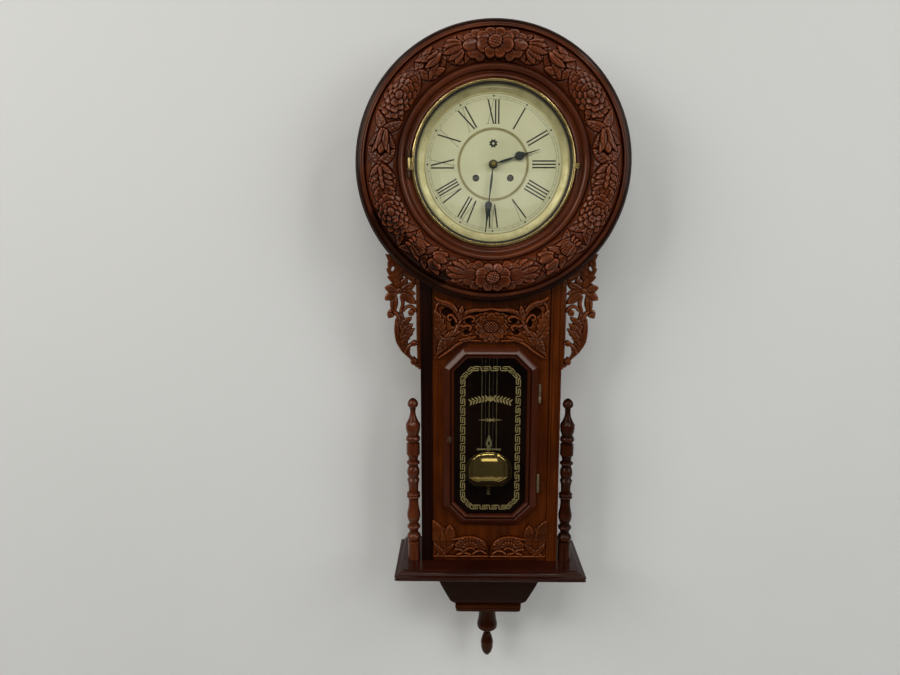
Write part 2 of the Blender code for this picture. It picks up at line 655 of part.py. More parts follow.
def arbor_places():
    """Where each arbor stands on the plates, worked out from the tooth counts."""
    centre = (0.0, 0.0)
    third = polar(centre, THIRD_ANGLE, CENTRE_MODULE * (CENTRE_TEETH + SMALL_PINION_TEETH) / 2.0)
    reach = THIRD_MODULE * (THIRD_TEETH + SMALL_PINION_TEETH) / 2.0
    escape = (0.0, third[1] + math.sqrt(reach ** 2 - third[0] ** 2))
    minute = polar(centre, MINUTE_ANGLE, CANNON_MODULE * (CANNON_TEETH + MINUTE_TEETH) / 2.0)
    time_barrel = (WINDING_X, WINDING_Z)
    strike_barrel = (-WINDING_X, WINDING_Z)
    strike = polar(strike_barrel, STRIKE_ANGLE, GREAT_MODULE * (GREAT_TEETH + CENTRE_PINION_TEETH) / 2.0)
    return {
        "centre": centre, "third": third, "escape": escape, "pallet": (0.0, escape[1] + PALLET_RISE),
        "minute": minute, "time_barrel": time_barrel, "strike_barrel": strike_barrel, "strike": strike,
        "hammer": (-0.047, 0.062),
    }


PIVOT_HOLES = {
    "centre": 0.0026, "third": 0.0014, "escape": 0.0014, "pallet": 0.0014, "time_barrel": 0.0036,
    "strike_barrel": 0.0036, "strike": 0.0014, "hammer": 0.0014,
}


def movement_frame(brass, wood, places):
    """Two plates with riveted pillars, on a pair of wooden seats."""
    def plate(span):
        return block((-PLATE_HALF, PLATE_HALF), span, (PLATE_BOTTOM, PLATE_TOP))

    def pivot_holes(span):
        return [disc(radius, span[0] - 0.001, span[1] + 0.001, places[which], 10)
                for which, radius in PIVOT_HOLES.items()]

    corners = [(x, z) for x in (-0.0535, 0.0535) for z in (PLATE_BOTTOM + 0.006, PLATE_TOP - 0.006)]
    pillars = [disc(0.0035, BACK_PLATE[1] - 0.001, FRONT_PLATE[0] - GAP, place, 12) for place in corners]
    piece("movement_back_plate", brass, [plate(BACK_PLATE), *pillars], pivot_holes(BACK_PLATE))
    minute_stud = disc(0.0018, FRONT_PLATE[1] - 0.001, 0.1035, places["minute"], 10)
    piece("movement_front_plate", brass, [plate(FRONT_PLATE), minute_stud], pivot_holes(FRONT_PLATE))
    back = BOARD_DEPTH + GAP
    posts = []
    for side in (-1, 1):
        x = sorted((side * 0.043, side * 0.060))
        posts.append(block(x, (back, BACK_PLATE[0] - GAP), (PLATE_BOTTOM, -0.001)))
    tie = block((-0.058, 0.058), (back, back + 0.008), (-0.045, -0.020))
    piece("movement_seat", wood, [posts[0], tie, posts[1]])
    cock = block((-0.011, 0.011), (0.0505, BACK_PLATE[0] - GAP), (0.0715, 0.0775))
    nose = block((-0.005, 0.005), (0.0455, 0.0520), (0.0700, 0.0775))
    slit = block((-0.0010, 0.0010), (0.0450, 0.0530), (0.0690, 0.0740))
    piece("suspension_cock", brass, [cock, nose], [slit])


def spring_barrel(name, key_name, place, drum, wheel, axis, brass, steel, phase):
    """A barrel with its great wheel, on an arbor that is wound from the front."""
    shell = turned_knob([(0.0210, drum[0]), (0.0210, drum[1])], 16, place)
    rim = gear(GREAT_TEETH, GREAT_MODULE, wheel[0], wheel[1], place, phase)
    bore = disc(0.0034, drum[0] - 0.002, wheel[1] + 0.003, place, 12)
    piece(name, brass, [shell, rim], [bore], parent=axis)
    shaft = disc(0.0030, BACK_PLATE[0] - 0.0015, 0.1000, place, 12)
    x, z = place
    square = block((x - 0.002, x + 0.002), (0.0990, 0.1085), (z - 0.002, z + 0.002))
    key_axis = pivot(f"{key_name}_axis", place[0], FRONT_PLATE[1], place[1])
    piece(key_name, steel, [shaft, square], parent=key_axis)


def time_train(brass, steel, places):
    """Great wheel, centre, third and escape wheels, each meshed with the next at rest."""
    centre, third, escape = places["centre"], places["third"], places["escape"]
    barrel = places["time_barrel"]
    to_centre = math.atan2(-barrel[1], -barrel[0])
    great_axis = pivot("time_barrel_axis", barrel[0], 0.080, barrel[1])
    spring_barrel("time_barrel", "time_winding_arbor", barrel, (0.0635, 0.0795), (0.0790, 0.0814),
                  great_axis, brass, steel, 0.0)
    pinion_phase = meshing_phase(GREAT_TEETH, 0.0, CENTRE_PINION_TEETH, to_centre)
    minute_axis = pivot("minute_axis", 0.0, FRONT_PLATE[1], 0.0)
    bodies = [
        arbor(0.0022, BACK_PLATE[0] - 0.0015, 0.1182, centre),
        gear(CENTRE_PINION_TEETH, GREAT_MODULE, 0.0785, 0.0825, centre, pinion_phase),
        gear(CENTRE_TEETH, CENTRE_MODULE, 0.0840, 0.0856, centre, 0.0),
        gear(CANNON_TEETH, CANNON_MODULE, 0.0960, 0.0986, centre, 0.0),
        arbor(0.0013, 0.1180, 0.1222, centre, 8),
    ]
    windows = spoke_gaps(0.0100, 0.0195, 0.0840, 0.0856, centre)
    piece("centre_arbor", brass, bodies, windows, parent=minute_axis)
    third_axis = pivot("third_axis", third[0], 0.078, third[1])
    small_phase = meshing_phase(CENTRE_TEETH, 0.0, SMALL_PINION_TEETH, THIRD_ANGLE)
    bodies = [
        arbor(0.0012, BACK_PLATE[0] - 0.001, FRONT_PLATE[1] + 0.001, third, 10),
        gear(SMALL_PINION_TEETH, CENTRE_MODULE, 0.0830, 0.0866, third, small_phase),
        gear(THIRD_TEETH, THIRD_MODULE, 0.0700, 0.0716, third, 0.0),
    ]
    piece("third_wheel", brass, bodies, spoke_gaps(0.0050, 0.0140, 0.0700, 0.0716, third), parent=third_axis)
    to_escape = math.atan2(escape[1] - third[1], escape[0] - third[0])
    escape_phase = meshing_phase(THIRD_TEETH, 0.0, SMALL_PINION_TEETH, to_escape)
    escape_axis = pivot("escape_axis", escape[0], 0.078, escape[1])
    points = []
    for i in range(ESCAPE_TEETH):
        for share, radius in ((0.0, ESCAPE_RADIUS), (0.35, ESCAPE_RADIUS - 0.0032)):
            points.append(polar(escape, (i + share) * TURN / ESCAPE_TEETH, radius))
    bodies = [
        arbor(0.0012, BACK_PLATE[0] - 0.001, FRONT_PLATE[1] + 0.001, escape, 10),
        gear(SMALL_PINION_TEETH, THIRD_MODULE, 0.0690, 0.0726, escape, escape_phase),
        slab(points, 0.0760, 0.0774),
    ]
    windows = spoke_gaps(0.0045, 0.0120, 0.0760, 0.0774, escape)
    piece("escape_wheel", brass, bodies, windows, parent=escape_axis)
    return minute_axis


def motion_work(brass, places):
    """The minute wheel beside the cannon pinion, and the hour wheel it drives."""
    place = places["minute"]
    minute_wheel_axis = pivot("minute_wheel_axis", place[0], 0.098, place[1])
    wheel_phase = meshing_phase(CANNON_TEETH, 0.0, MINUTE_TEETH, MINUTE_ANGLE)
    bodies = [
        gear(MINUTE_TEETH, CANNON_MODULE, 0.0962, 0.0978, place, wheel_phase),
        gear(MINUTE_PINION_TEETH, HOUR_MODULE, 0.0976, 0.1020, place, 0.0),
    ]
    bore = disc(0.0021, 0.095, 0.104, place, 12)
    piece("minute_wheel", brass, bodies, [bore], parent=minute_wheel_axis)
    hour_axis = pivot("hour_axis", 0.0, 0.100, 0.0)
    hour_phase = meshing_phase(MINUTE_PINION_TEETH, 0.0, HOUR_TEETH, MINUTE_ANGLE + math.pi)
    pipe = disc(0.0045, 0.0994, 0.1164, sides=16)
    wheel = gear(HOUR_TEETH, HOUR_MODULE, 0.0996, 0.1012, (0.0, 0.0), hour_phase)
    pipe_bore = disc(0.0025, 0.098, 0.118, sides=16)
    piece("hour_wheel", brass, [pipe, wheel], [pipe_bore], parent=hour_axis)
    return hour_axis


def strike_work(brass, steel, places):
    barrel, strike, hammer = places["strike_barrel"], places["strike"], places["hammer"]
    axis = pivot("strike_barrel_axis", barrel[0], 0.076, barrel[1])
    spring_barrel("strike_barrel", "strike_winding_arbor", barrel, (0.0635, 0.0750), (0.0747, 0.0771), axis,
                  brass, steel, 0.0)
    phase = meshing_phase(GREAT_TEETH, 0.0, CENTRE_PINION_TEETH, STRIKE_ANGLE)
    wheel_axis = pivot("strike_wheel_axis", strike[0], 0.080, strike[1])
    bodies = [
        arbor(0.0012, BACK_PLATE[0] - 0.001, FRONT_PLATE[1] + 0.001, strike, 10),
        gear(CENTRE_PINION_TEETH, GREAT_MODULE, 0.0740, 0.0780, strike, phase),
        disc(0.0140, 0.0805, 0.0819, strike, 16),
    ]
    pins = 6
    for i in range(pins):
        bodies.append(disc(0.0007, 0.0812, 0.0850, polar(strike, TURN * i / pins, 0.0115), 5))
    piece("strike_wheel", brass, bodies, parent=wheel_axis)
    hammer_axis = pivot("hammer_axis", hammer[0], 0.058, hammer[1])
    head = (hammer[0] + 0.012, hammer[1] + 0.047)
    rod = wire([(hammer[0], -0.0560, hammer[1]), (hammer[0] + 0.001, -0.0520, hammer[1] + 0.006),
                (hammer[0] + 0.004, -0.0420, hammer[1] + 0.026), (head[0] - 0.001, -0.0340, head[1] - 0.002),
                (head[0], -0.0330, head[1])], 0.0010, 6)
    knocker = wire([(head[0] - 0.006, -0.033, head[1]), (head[0] + 0.006, -0.033, head[1])], 0.0042, 12)
    shaft = arbor(0.0012, 0.0550, FRONT_PLATE[1] + 0.001, hammer, 10)
    piece("hammer", steel, [shaft, rod, knocker], parent=hammer_axis)


def gong(steel, wood):
    """A coiled gong on a block, struck by the hammer."""
    block_x = (-0.0080, 0.0080)
    piece("gong_block", wood, [block(block_x, (BOARD_DEPTH + GAP, 0.0285), (0.0930, 0.1090))])
    turns = 2.4
    steps = 38
    points = []
    for i in range(steps + 1):
        share = i / steps
        radius = 0.004 + 0.026 * share
        angle = math.radians(90.0) - TURN * turns * share
        points.append((radius * math.cos(angle), -0.0330, 0.1010 + radius * math.sin(angle)))
    coil = wire(points, 0.0011, 5)
    stub = disc(0.0030, 0.0288, 0.0335, (0.0, 0.1040), 10)
    piece("gong_coil", steel, [coil, stub])


def pallets_and_pendulum(steel, brass, places):
    """The pallets' crutch and the pendulum turn together about the suspension's bend."""
    place = places["pallet"]
    escape = places["escape"]
    crutch_axis = pivot("crutch_axis", place[0], 0.0575, place[1])
    clear = 0.0009
    arms = []
    for side in (-1, 1):
        tip = polar(escape, math.radians(90.0 - side * 42.0), ESCAPE_RADIUS + clear + 0.0010)
        elbow = (tip[0] * 1.15, tip[1] + 0.007)
        arms.append(wire([(place[0], -0.0767, place[1]), (elbow[0], -0.0767, elbow[1]),
                          (tip[0], -0.0767, tip[1])], 0.0009, 6))
    bodies = [arbor(0.0012, 0.0535, FRONT_PLATE[1] + 0.001, place, 10), *arms]
    bodies.append(wire([(0.0, -0.0560, place[1]), (0.0, -0.0560, 0.0200)], 0.0009, 6))
    bodies.append(wire([(0.0, -0.0560, 0.0206), (0.0, -0.0535, 0.0200), (0.0, -0.0524, 0.0200)], 0.0009, 6))
    piece("pallet_crutch", steel, bodies, parent=crutch_axis)
    swing = pivot("pendulum_axis", place[0], PENDULUM_DEPTH, place[1])
    spring = block((-0.0004, 0.0004), (0.0470, 0.0515), (0.0480, 0.0735))
    piece("suspension_spring", steel, [spring], parent=swing)
    hook_rod = wire([(0.0, -PENDULUM_DEPTH, 0.0475), (0.0, -PENDULUM_DEPTH, UPPER_BAR + 0.0022)], 0.0014, 8)
    hook = block((-0.0030, 0.0030), (0.0480, 0.0515), (0.0400, 0.0475))
    piece("pendulum_hanger", steel, [hook, hook_rod], parent=swing)
    grid = []
    for z, half in ((UPPER_BAR, 0.0215), (LOWER_BAR, 0.0235)):
        grid.append(block((-half + 0.003, half - 0.003), (0.0482, 0.0518), (z - 0.0019, z + 0.0019)))
        grid += [ball(0.0030, (side * (half - 0.003), z)) for side in (-1, 1)]
    low = LOWER_BAR + 0.0019 + GAP
    for x, radius, foot in ((-ROD_SPACING, 0.0013, LOWER_BAR), (ROD_SPACING, 0.0013, LOWER_BAR),
                            (0.0, 0.0012, low + 0.0285)):
        grid.append(wire([(x, -PENDULUM_DEPTH, foot), (x, -PENDULUM_DEPTH, UPPER_BAR)], radius, 10))
    strap_x = (-0.003, 0.003)
    screw_foot = BOB_BOTTOM - 0.0160
    grid.append(block(strap_x, (0.0425, 0.0490), (LOWER_BAR - 0.0015, LOWER_BAR + 0.0015)))
    grid.append(block(strap_x, (0.0425, 0.0437), (screw_foot, LOWER_BAR + 0.0010)))
    grid.append(block(strap_x, (0.0425, 0.0520), (screw_foot, screw_foot + 0.0020)))
    screw = [(0.0012, screw_foot + 0.0010), (0.0012, BOB_BOTTOM - 0.0025)]
    grid.append(turned_post(screw, 8, 0.0, PENDULUM_DEPTH))
    piece("pendulum_grid", brass, grid, parent=swing)
    edge = [(0.0030, 0.0), (0.0054, 0.006), (0.0056, 0.010), (0.0044, 0.015), (0.0024, 0.0205)]
    leaf = [(x, low + z) for x, z in edge] + [(0.0, low + 0.027)] + [(-x, low + z) for x, z in reversed(edge)]
    spire = slab(leaf, 0.0488, 0.0512)
    slot = [(0.0, low + 0.005), (0.0020, low + 0.009), (0.0, low + 0.015), (-0.0020, low + 0.009)]
    spire_window = slab(slot, 0.048, 0.052)
    piece("pendulum_spire", brass, [spire], [spire_window], parent=swing)
    outline = []
    steps = 16
    shoulder = BOB_BOTTOM + 0.030
    for i in range(steps + 1):
        angle = math.pi * i / steps
        rise = (BOB_TOP - shoulder) * math.sin(angle) ** 0.9
        outline.append((BOB_HALF * math.cos(angle), shoulder + rise))
    outline += [(-BOB_HALF + 0.001, shoulder - 0.014), (-0.026, BOB_BOTTOM), (0.026, BOB_BOTTOM),
                (BOB_HALF - 0.001, shoulder - 0.014)]
    middle = (0.0, (BOB_TOP + BOB_BOTTOM) / 2.0)
    rings = []
    for depth, share in ((0.0440, 0.96), (0.0455, 1.0), (0.0500, 1.0), (0.0545, 0.93), (0.0580, 0.78),
                         (0.0600, 0.5)):
        rings.append([(x * share, -depth, middle[1] + (z - middle[1]) * share) for x, z in outline])
    bob_slide = pivot("bob_slide_axis", 0.0, PENDULUM_DEPTH, middle[1])
    piece("pendulum_bob", brass, [loft(rings)], parent=bob_slide)
    nut_profile = [(0.0055, BOB_BOTTOM - 0.0065), (0.0055, BOB_BOTTOM - 0.0010)]
    nut = turned_post(nut_profile, 14, 0.0, PENDULUM_DEPTH)
    thread = turned_post([(0.0015, BOB_BOTTOM - 0.0080), (0.0015, BOB_BOTTOM)], 8, 0.0, PENDULUM_DEPTH)
    piece("rating_nut", brass, [nut], [thread], parent=bob_slide)


def ball(radius, place):
    """A small ball end on the pendulum's bars."""
    profile = []
    steps = 4
    for i in range(steps + 1):
        angle = math.pi * (0.04 + 0.92 * i / steps)
        profile.append((radius * math.sin(angle), PENDULUM_DEPTH - radius * math.cos(angle)))
    return turned_knob(profile, 8, place)


def main():
    clear_scene()
    mahogany = finish("mahogany", (0.100, 0.022, 0.010), 0.25)
    panel_wood = finish("panel_mahogany", (0.130, 0.035, 0.010), 0.30)
    dark_wood = finish("dark_mahogany", (0.030, 0.008, 0.005), 0.30)
    inner_wood = finish("inner_wood", (0.050, 0.030, 0.020), 0.60)
    brass = finish("brass", (0.600, 0.450, 0.180), 0.22, 1.0)
    steel = finish("blued_steel", (0.050, 0.055, 0.055), 0.35, 0.8)
    painted = finish("dial_paint", (0.620, 0.590, 0.390), 0.45)
    glass = finish("glass", (0.900, 0.950, 0.930), 0.03, 0.0, 0.25)

    backboard(inner_wood)
    hanger_plate(steel)
    case_sides(panel_wood)
    head_drum(inner_wood)
    trunk_panel(panel_wood)
    pilasters(mahogany)
    head_ring(mahogany)
    shelf(mahogany)
    console(dark_wood)
    console_lip(panel_wood)
    drop_finial(dark_wood)
    columns(mahogany)
    side_brackets(mahogany)
    upper_carving(mahogany)
    lower_carvings(mahogany)
    door_pieces(panel_wood, brass, glass)
    bezel_pieces(brass, glass)
    dial_pieces(painted, brass)
    places = arbor_places()
    movement_frame(brass, inner_wood, places)
    minute_axis = time_train(brass, steel, places)
    hour_axis = motion_work(brass, places)
    hands(steel, brass, minute_axis, hour_axis)
    strike_work(brass, steel, places)
    gong(steel, inner_wood)
    pallets_and_pendulum(steel, brass, places)


main()
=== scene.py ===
"""Looks of a carved wall clock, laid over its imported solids.

Shapes are worked out in millimetres as (x, depth, z), where depth is the distance forward of the wall.
They become metres when a mesh is made: +X is to the right of someone facing the clock, the wall is Y = 0.
"""

import math

import bmesh
import bpy
import numpy as np
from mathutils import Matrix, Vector


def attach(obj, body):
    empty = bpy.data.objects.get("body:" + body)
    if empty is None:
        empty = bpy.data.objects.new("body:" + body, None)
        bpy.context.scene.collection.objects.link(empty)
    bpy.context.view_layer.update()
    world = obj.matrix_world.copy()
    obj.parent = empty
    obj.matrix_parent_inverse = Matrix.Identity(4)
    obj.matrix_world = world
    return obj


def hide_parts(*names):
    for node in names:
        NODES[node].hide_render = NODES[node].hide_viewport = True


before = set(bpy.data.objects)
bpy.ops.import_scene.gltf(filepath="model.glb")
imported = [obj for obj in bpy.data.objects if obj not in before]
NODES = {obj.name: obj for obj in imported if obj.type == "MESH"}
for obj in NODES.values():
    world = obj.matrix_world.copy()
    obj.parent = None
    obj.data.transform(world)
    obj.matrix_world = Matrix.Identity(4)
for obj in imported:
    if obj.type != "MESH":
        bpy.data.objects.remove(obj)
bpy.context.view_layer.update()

TURN = 2.0 * math.pi
SIDES = (("left", -1), ("right", 1))

# Sizes shared with the solids, in millimetres
DOOR_HALF = 83.4
DOOR_MIDDLE = -471.5
DOOR_HALF_HEIGHT = 162.5
DOOR_CORNER = 34.0
PENDULUM_DEPTH = 50.0
LOWER_BAR = -509.5
UPPER_BAR = -325.0
SPIRE_FOOT = LOWER_BAR + 2.2
BOB_TOP = -514.0
BOB_BOTTOM = -581.0
RING_PEAK = 184.0
RING_INNER = 157.0
RING_OUTER = 210.6
DIAL_FRONT = 111.2
GILDING_DEPTH = 96.0
BRACKET_BACK = 80.2
BRACKET_FRONT = 87.6
CARVING_BACK = 97.3
CARVING_FRONT = 100.4
COLUMN_AWAY = 138.0
COLUMN_DEPTH = 90.0
FINIAL_DEPTH = 45.0
HINGE_AXIS = (86.2, 100.8)
HINGE_LEVELS = (-391.0, -555.5)


# Materials


def node(tree, kind, inputs=None, **settings):
    """A node with its settings, and each input linked to a socket or given a value."""
    made = tree.nodes.new(kind)
    for key, value in settings.items():
        setattr(made, key, value)
    for key, value in (inputs or {}).items():
        if isinstance(value, bpy.types.NodeSocket):
            tree.links.new(value, made.inputs[key])
        else:
            made.inputs[key].default_value = value
    return made


def mixed(tree, share, first, second, blend="MIX"):
    """Two colours mixed by a share."""
    made = node(tree, "ShaderNodeMix", data_type="RGBA", blend_type=blend, clamp_factor=True)
    for place, value in ((0, share), (6, first), (7, second)):
        if isinstance(value, bpy.types.NodeSocket):
            tree.links.new(value, made.inputs[place])
        elif place == 0:
            made.inputs[place].default_value = value
        else:
            made.inputs[place].default_value = (*value, 1.0)
    return made.outputs[2]


def spread(tree, value, low, high, to_low=0.0, to_high=1.0):
    """A value carried from one range to another, and kept inside it."""
    made = node(tree, "ShaderNodeMapRange", {"Value": value, "From Min": low, "From Max": high,
                                             "To Min": to_low, "To Max": to_high})
    return made.outputs["Result"]


def own_place(tree):
    """A point's place along its own object's axes."""
    return node(tree, "ShaderNodeTexCoord").outputs["Object"]


def noise(tree, place, scale, detail=4.0, rough=0.55):
    """Noise over a place, scaled per metre: evenly, or along each of its three axes."""
    if isinstance(scale, float):
        scale = (scale, scale, scale)
    scaled = node(tree, "ShaderNodeMapping", {"Vector": place, "Scale": scale})
    made = node(tree, "ShaderNodeTexNoise", {"Vector": scaled.outputs["Vector"], "Scale": 1.0,
                                             "Detail": detail, "Roughness": rough})
    return made.outputs[0]


def blank_material(name):
    made = bpy.data.materials.new(name)
    made.use_nodes = True
    return made, made.node_tree, made.node_tree.nodes["Principled BSDF"]


def attribute(tree, name, output):
    return node(tree, "ShaderNodeAttribute", attribute_name=name).outputs[output]


def upright_grain(tree):
    """Grain coordinates whose first axis is the object's own Z."""
    parts = node(tree, "ShaderNodeSeparateXYZ", {"Vector": own_place(tree)})
    turned = node(tree, "ShaderNodeCombineXYZ", {"X": parts.outputs["Z"], "Y": parts.outputs["X"],
                                                 "Z": parts.outputs["Y"]})
    return turned.outputs["Vector"]


def link(tree, socket, shader, name):
    tree.links.new(socket, shader.inputs[name])


def wood(name, stain, roughness, coat, carved=True):
    """French-polished mahogany: long bands, fine streaks and open pores.

    A carved one reads its grain, its tone and its cavities from the mesh: its hollows are darkened with dirt
    and painted shade, its crests lightened with wear and a painted highlight.
    """
    light, middle, dark = stain
    made, tree, shader = blank_material(name)
    place = attribute(tree, "grain", "Vector") if carved else upright_grain(tree)
    bands = noise(tree, place, (5.0, 95.0, 95.0), 3.0, 0.6)
    streaks = noise(tree, place, (22.0, 620.0, 620.0), 4.0, 0.6)
    blotches = noise(tree, place, (9.0, 16.0, 16.0), 3.0, 0.5)
    pores = noise(tree, place, (260.0, 2600.0, 2600.0), 2.0, 0.5)
    colour = mixed(tree, spread(tree, bands, 0.36, 0.66), middle, light)
    colour = mixed(tree, spread(tree, streaks, 0.42, 0.72, 0.0, 0.55), colour, dark)
    colour = mixed(tree, spread(tree, blotches, 0.38, 0.66, 0.0, 0.55), colour, dark)
    colour = mixed(tree, spread(tree, pores, 0.60, 0.72, 0.0, 0.6), colour, tuple(0.35 * c for c in dark))
    if carved:
        cavity = attribute(tree, "cavity", "Fac")
        tone = attribute(tree, "tone", "Fac")
        # black and worn: colours for painted shade with dirt, and for painted highlight with wear.
        black = tuple(0.14 * c for c in dark)
        worn = tuple(min(1.0, 2.2 * c) for c in light)
        # Darker by the tone: stain on some pieces, painted shade and a painted shadow on others.
        colour = mixed(tree, tone, colour, black)
        # Painted shade with dirt: hollows darkened towards near black.
        colour = mixed(tree, spread(tree, cavity, 0.51, 0.84, 0.0, 0.86), colour, black)
        # Painted highlight with wear: crests lightened.
        colour = mixed(tree, spread(tree, cavity, 0.45, 0.12, 0.0, 0.50), colour, worn)
        rough = spread(tree, cavity, 0.45, 0.95, roughness, roughness + 0.3)
        polished = spread(tree, tone, 0.0, 1.0, 1.0, 0.3)
        rubbed = node(tree, "ShaderNodeMath", {0: polished, 1: spread(tree, cavity, 0.25, 0.70, 1.7, 0.1)},
                      operation="MULTIPLY").outputs["Value"]
        link(tree, spread(tree, rubbed, 0.0, 1.7, 0.02, 0.26), shader, "Specular IOR Level")
        link(tree, spread(tree, rubbed, 0.0, 1.7, 0.0, 1.7 * coat), shader, "Coat Weight")
    else:
        rough = spread(tree, streaks, 0.3, 0.8, roughness - 0.05, roughness + 0.12)
        shader.inputs["Specular IOR Level"].default_value = 0.10
        shader.inputs["Coat Weight"].default_value = coat
    link(tree, colour, shader, "Base Color")
    link(tree, rough, shader, "Roughness")
    shader.inputs["Specular Tint"].default_value = (1.0, 0.74, 0.52, 1.0)
    shader.inputs["Coat Roughness"].default_value = 0.12
    relief = node(tree, "ShaderNodeBump", {"Height": mixed(tree, 0.4, streaks, pores),
                                           "Strength": 0.12, "Distance": 0.0006})
    link(tree, relief.outputs["Normal"], shader, "Normal")
    return made


def metal(name, bright, dull, roughness, patches=40.0, full=1.0, wiped=0.35):
    """Polished metal with tarnish in soft patches and fine wiping marks."""
    made, tree, shader = blank_material(name)
    place = own_place(tree)
    tarnish = noise(tree, place, patches, 5.0, 0.6)
    marks = noise(tree, place, (1400.0, 1400.0, 240.0), 2.0, 0.5)
    share = spread(tree, tarnish, 0.38, 0.68)
    link(tree, mixed(tree, share, bright, dull), shader, "Base Color")
    rough = mixed(tree, wiped, spread(tree, tarnish, 0.3, 0.75, roughness * 0.7, roughness * 1.7), marks)
    link(tree, spread(tree, rough, 0.0, 1.0, roughness * 0.6, roughness + wiped), shader, "Roughness")
    shader.inputs["Metallic"].default_value = full
    relief = node(tree, "ShaderNodeBump", {"Height": marks, "Strength": 0.15 * wiped, "Distance": 0.0002})
    link(tree, relief.outputs["Normal"], shader, "Normal")
    return made


def painted_dial():
    """Cream paint, darker towards the edge, with faint stains."""
    made, tree, shader = blank_material("aged_cream_paint")
    place = own_place(tree)
    parts = node(tree, "ShaderNodeSeparateXYZ", {"Vector": place})
    flat = node(tree, "ShaderNodeCombineXYZ", {"X": parts.outputs["X"], "Y": parts.outputs["Z"]})
    distance = node(tree, "ShaderNodeVectorMath", {0: flat.outputs["Vector"]}, operation="LENGTH")
    stains = noise(tree, place, 16.0, 4.0, 0.55)
    specks = noise(tree, place, 900.0, 2.0, 0.5)
    cream = mixed(tree, spread(tree, stains, 0.35, 0.70), (0.80, 0.755, 0.53), (0.71, 0.66, 0.445))
    # Darker towards the edge.
    darker_edge = mixed(tree, spread(tree, distance.outputs["Value"], 0.085, 0.118, 0.0, 0.5), cream,
                 (0.60, 0.55, 0.335))
    colour = mixed(tree, spread(tree, specks, 0.66, 0.74, 0.0, 0.35), darker_edge, (0.33, 0.27, 0.16))
    link(tree, colour, shader, "Base Color")
    link(tree, spread(tree, stains, 0.3, 0.7, 0.38, 0.55), shader, "Roughness")
    return made


def thin_coat(name, scale, detail, wear, fresh, worn, roughness, full=0.0):
    """Ink or gold leaf, worn thin in small spots."""
    made, tree, shader = blank_material(name)
    spots = noise(tree, own_place(tree), scale, detail, 0.6)
    link(tree, mixed(tree, spread(tree, spots, *wear), fresh, worn), shader, "Base Color")
    link(tree, spread(tree, spots, 0.3, 0.7, *roughness), shader, "Roughness")
    shader.inputs["Metallic"].default_value = full
    return made


def clear_glass():
    """A pane seen through, with a reflection that grows towards grazing angles."""
    made, tree, shader = blank_material("clear_glass")
    tree.nodes.remove(shader)
    place = own_place(tree)
    film = noise(tree, place, 24.0, 3.0, 0.5)
    through = node(tree, "ShaderNodeBsdfTransparent")
    link(tree, mixed(tree, film, (0.95, 0.96, 0.94), (0.88, 0.90, 0.87)), through, "Color")
    shine = node(tree, "ShaderNodeBsdfAnisotropic", {"Roughness": 0.0})
    edge = node(tree, "ShaderNodeFresnel", {"IOR": 1.36})
    behind = node(tree, "ShaderNodeNewGeometry").outputs["Backfacing"]
    front = node(tree, "ShaderNodeMath", {0: 1.0, 1: behind}, operation="SUBTRACT")
    share = node(tree, "ShaderNodeMath", {0: edge.outputs["Fac"], 1: front.outputs["Value"]},
                 operation="MULTIPLY")
    both = node(tree, "ShaderNodeMixShader", {0: share.outputs["Value"], 1: through.outputs["BSDF"],
                                              2: shine.outputs["BSDF"]})
    link(tree, both.outputs["Shader"], tree.nodes["Material Output"], "Surface")
    return made


# Light, middle and dark colours of each stain, and of the near-black browns painted as shade and shadow
RED = ((0.135, 0.0300, 0.0085), (0.078, 0.0150, 0.0042), (0.026, 0.0046, 0.0016))
DEEP_RED = (RED[1], (0.040, 0.0075, 0.0030), RED[2])
BROWN = ((0.120, 0.0250, 0.0026), (0.066, 0.0115, 0.0010), (0.020, 0.0034, 0.0006))
# Painted shadow: near-black browns for the left pilaster.
PAINTED_SHADOW_BROWN = ((0.016, 0.0030, 0.0016), (0.009, 0.0016, 0.0010), (0.004, 0.0009, 0.0007))
SHELF_RED = ((0.046, 0.0085, 0.0036), (0.028, 0.0046, 0.0022), (0.010, 0.0018, 0.0012))
PALE = ((0.085, 0.050, 0.026), (0.060, 0.034, 0.018), (0.026, 0.015, 0.009))
# Painted shade: near-black browns for the inside of the case.
SHADED_INSIDE = ((0.034, 0.0105, 0.0050), (0.023, 0.0070, 0.0036), (0.010, 0.0034, 0.0020))

carved_wood = wood("carved_mahogany", RED, 0.34, 0.22)
carved_brown = wood("carved_brown_mahogany", BROWN, 0.36, 0.18)
door_wood = wood("door_mahogany", DEEP_RED, 0.32, 0.28)
turned_wood = wood("turned_mahogany", RED, 0.30, 0.32)
console_wood = wood("console_mahogany", DEEP_RED, 0.40, 0.06)
shelf_wood = wood("shelf_mahogany", SHELF_RED, 0.26, 0.42)
panel_wood = wood("panel_mahogany", BROWN, 0.36, 0.08, carved=False)
pilaster_wood = wood("pilaster_mahogany", BROWN, 0.32, 0.16, carved=False)
pilaster_painted_shadow = wood("pilaster_painted_shadow_mahogany", PAINTED_SHADOW_BROWN, 0.32, 0.12, carved=False)
hinge_stain = wood("hinge_stain", BROWN, 0.40, 0.06, carved=False)
dull_wood = wood("inner_wood", PALE, 0.6, 0.0, carved=False)
shaded_inside = wood("inner_painted_shade", SHADED_INSIDE, 0.7, 0.0, carved=False)
brass = metal("aged_brass", (0.50, 0.40, 0.17), (0.24, 0.18, 0.065), 0.17)
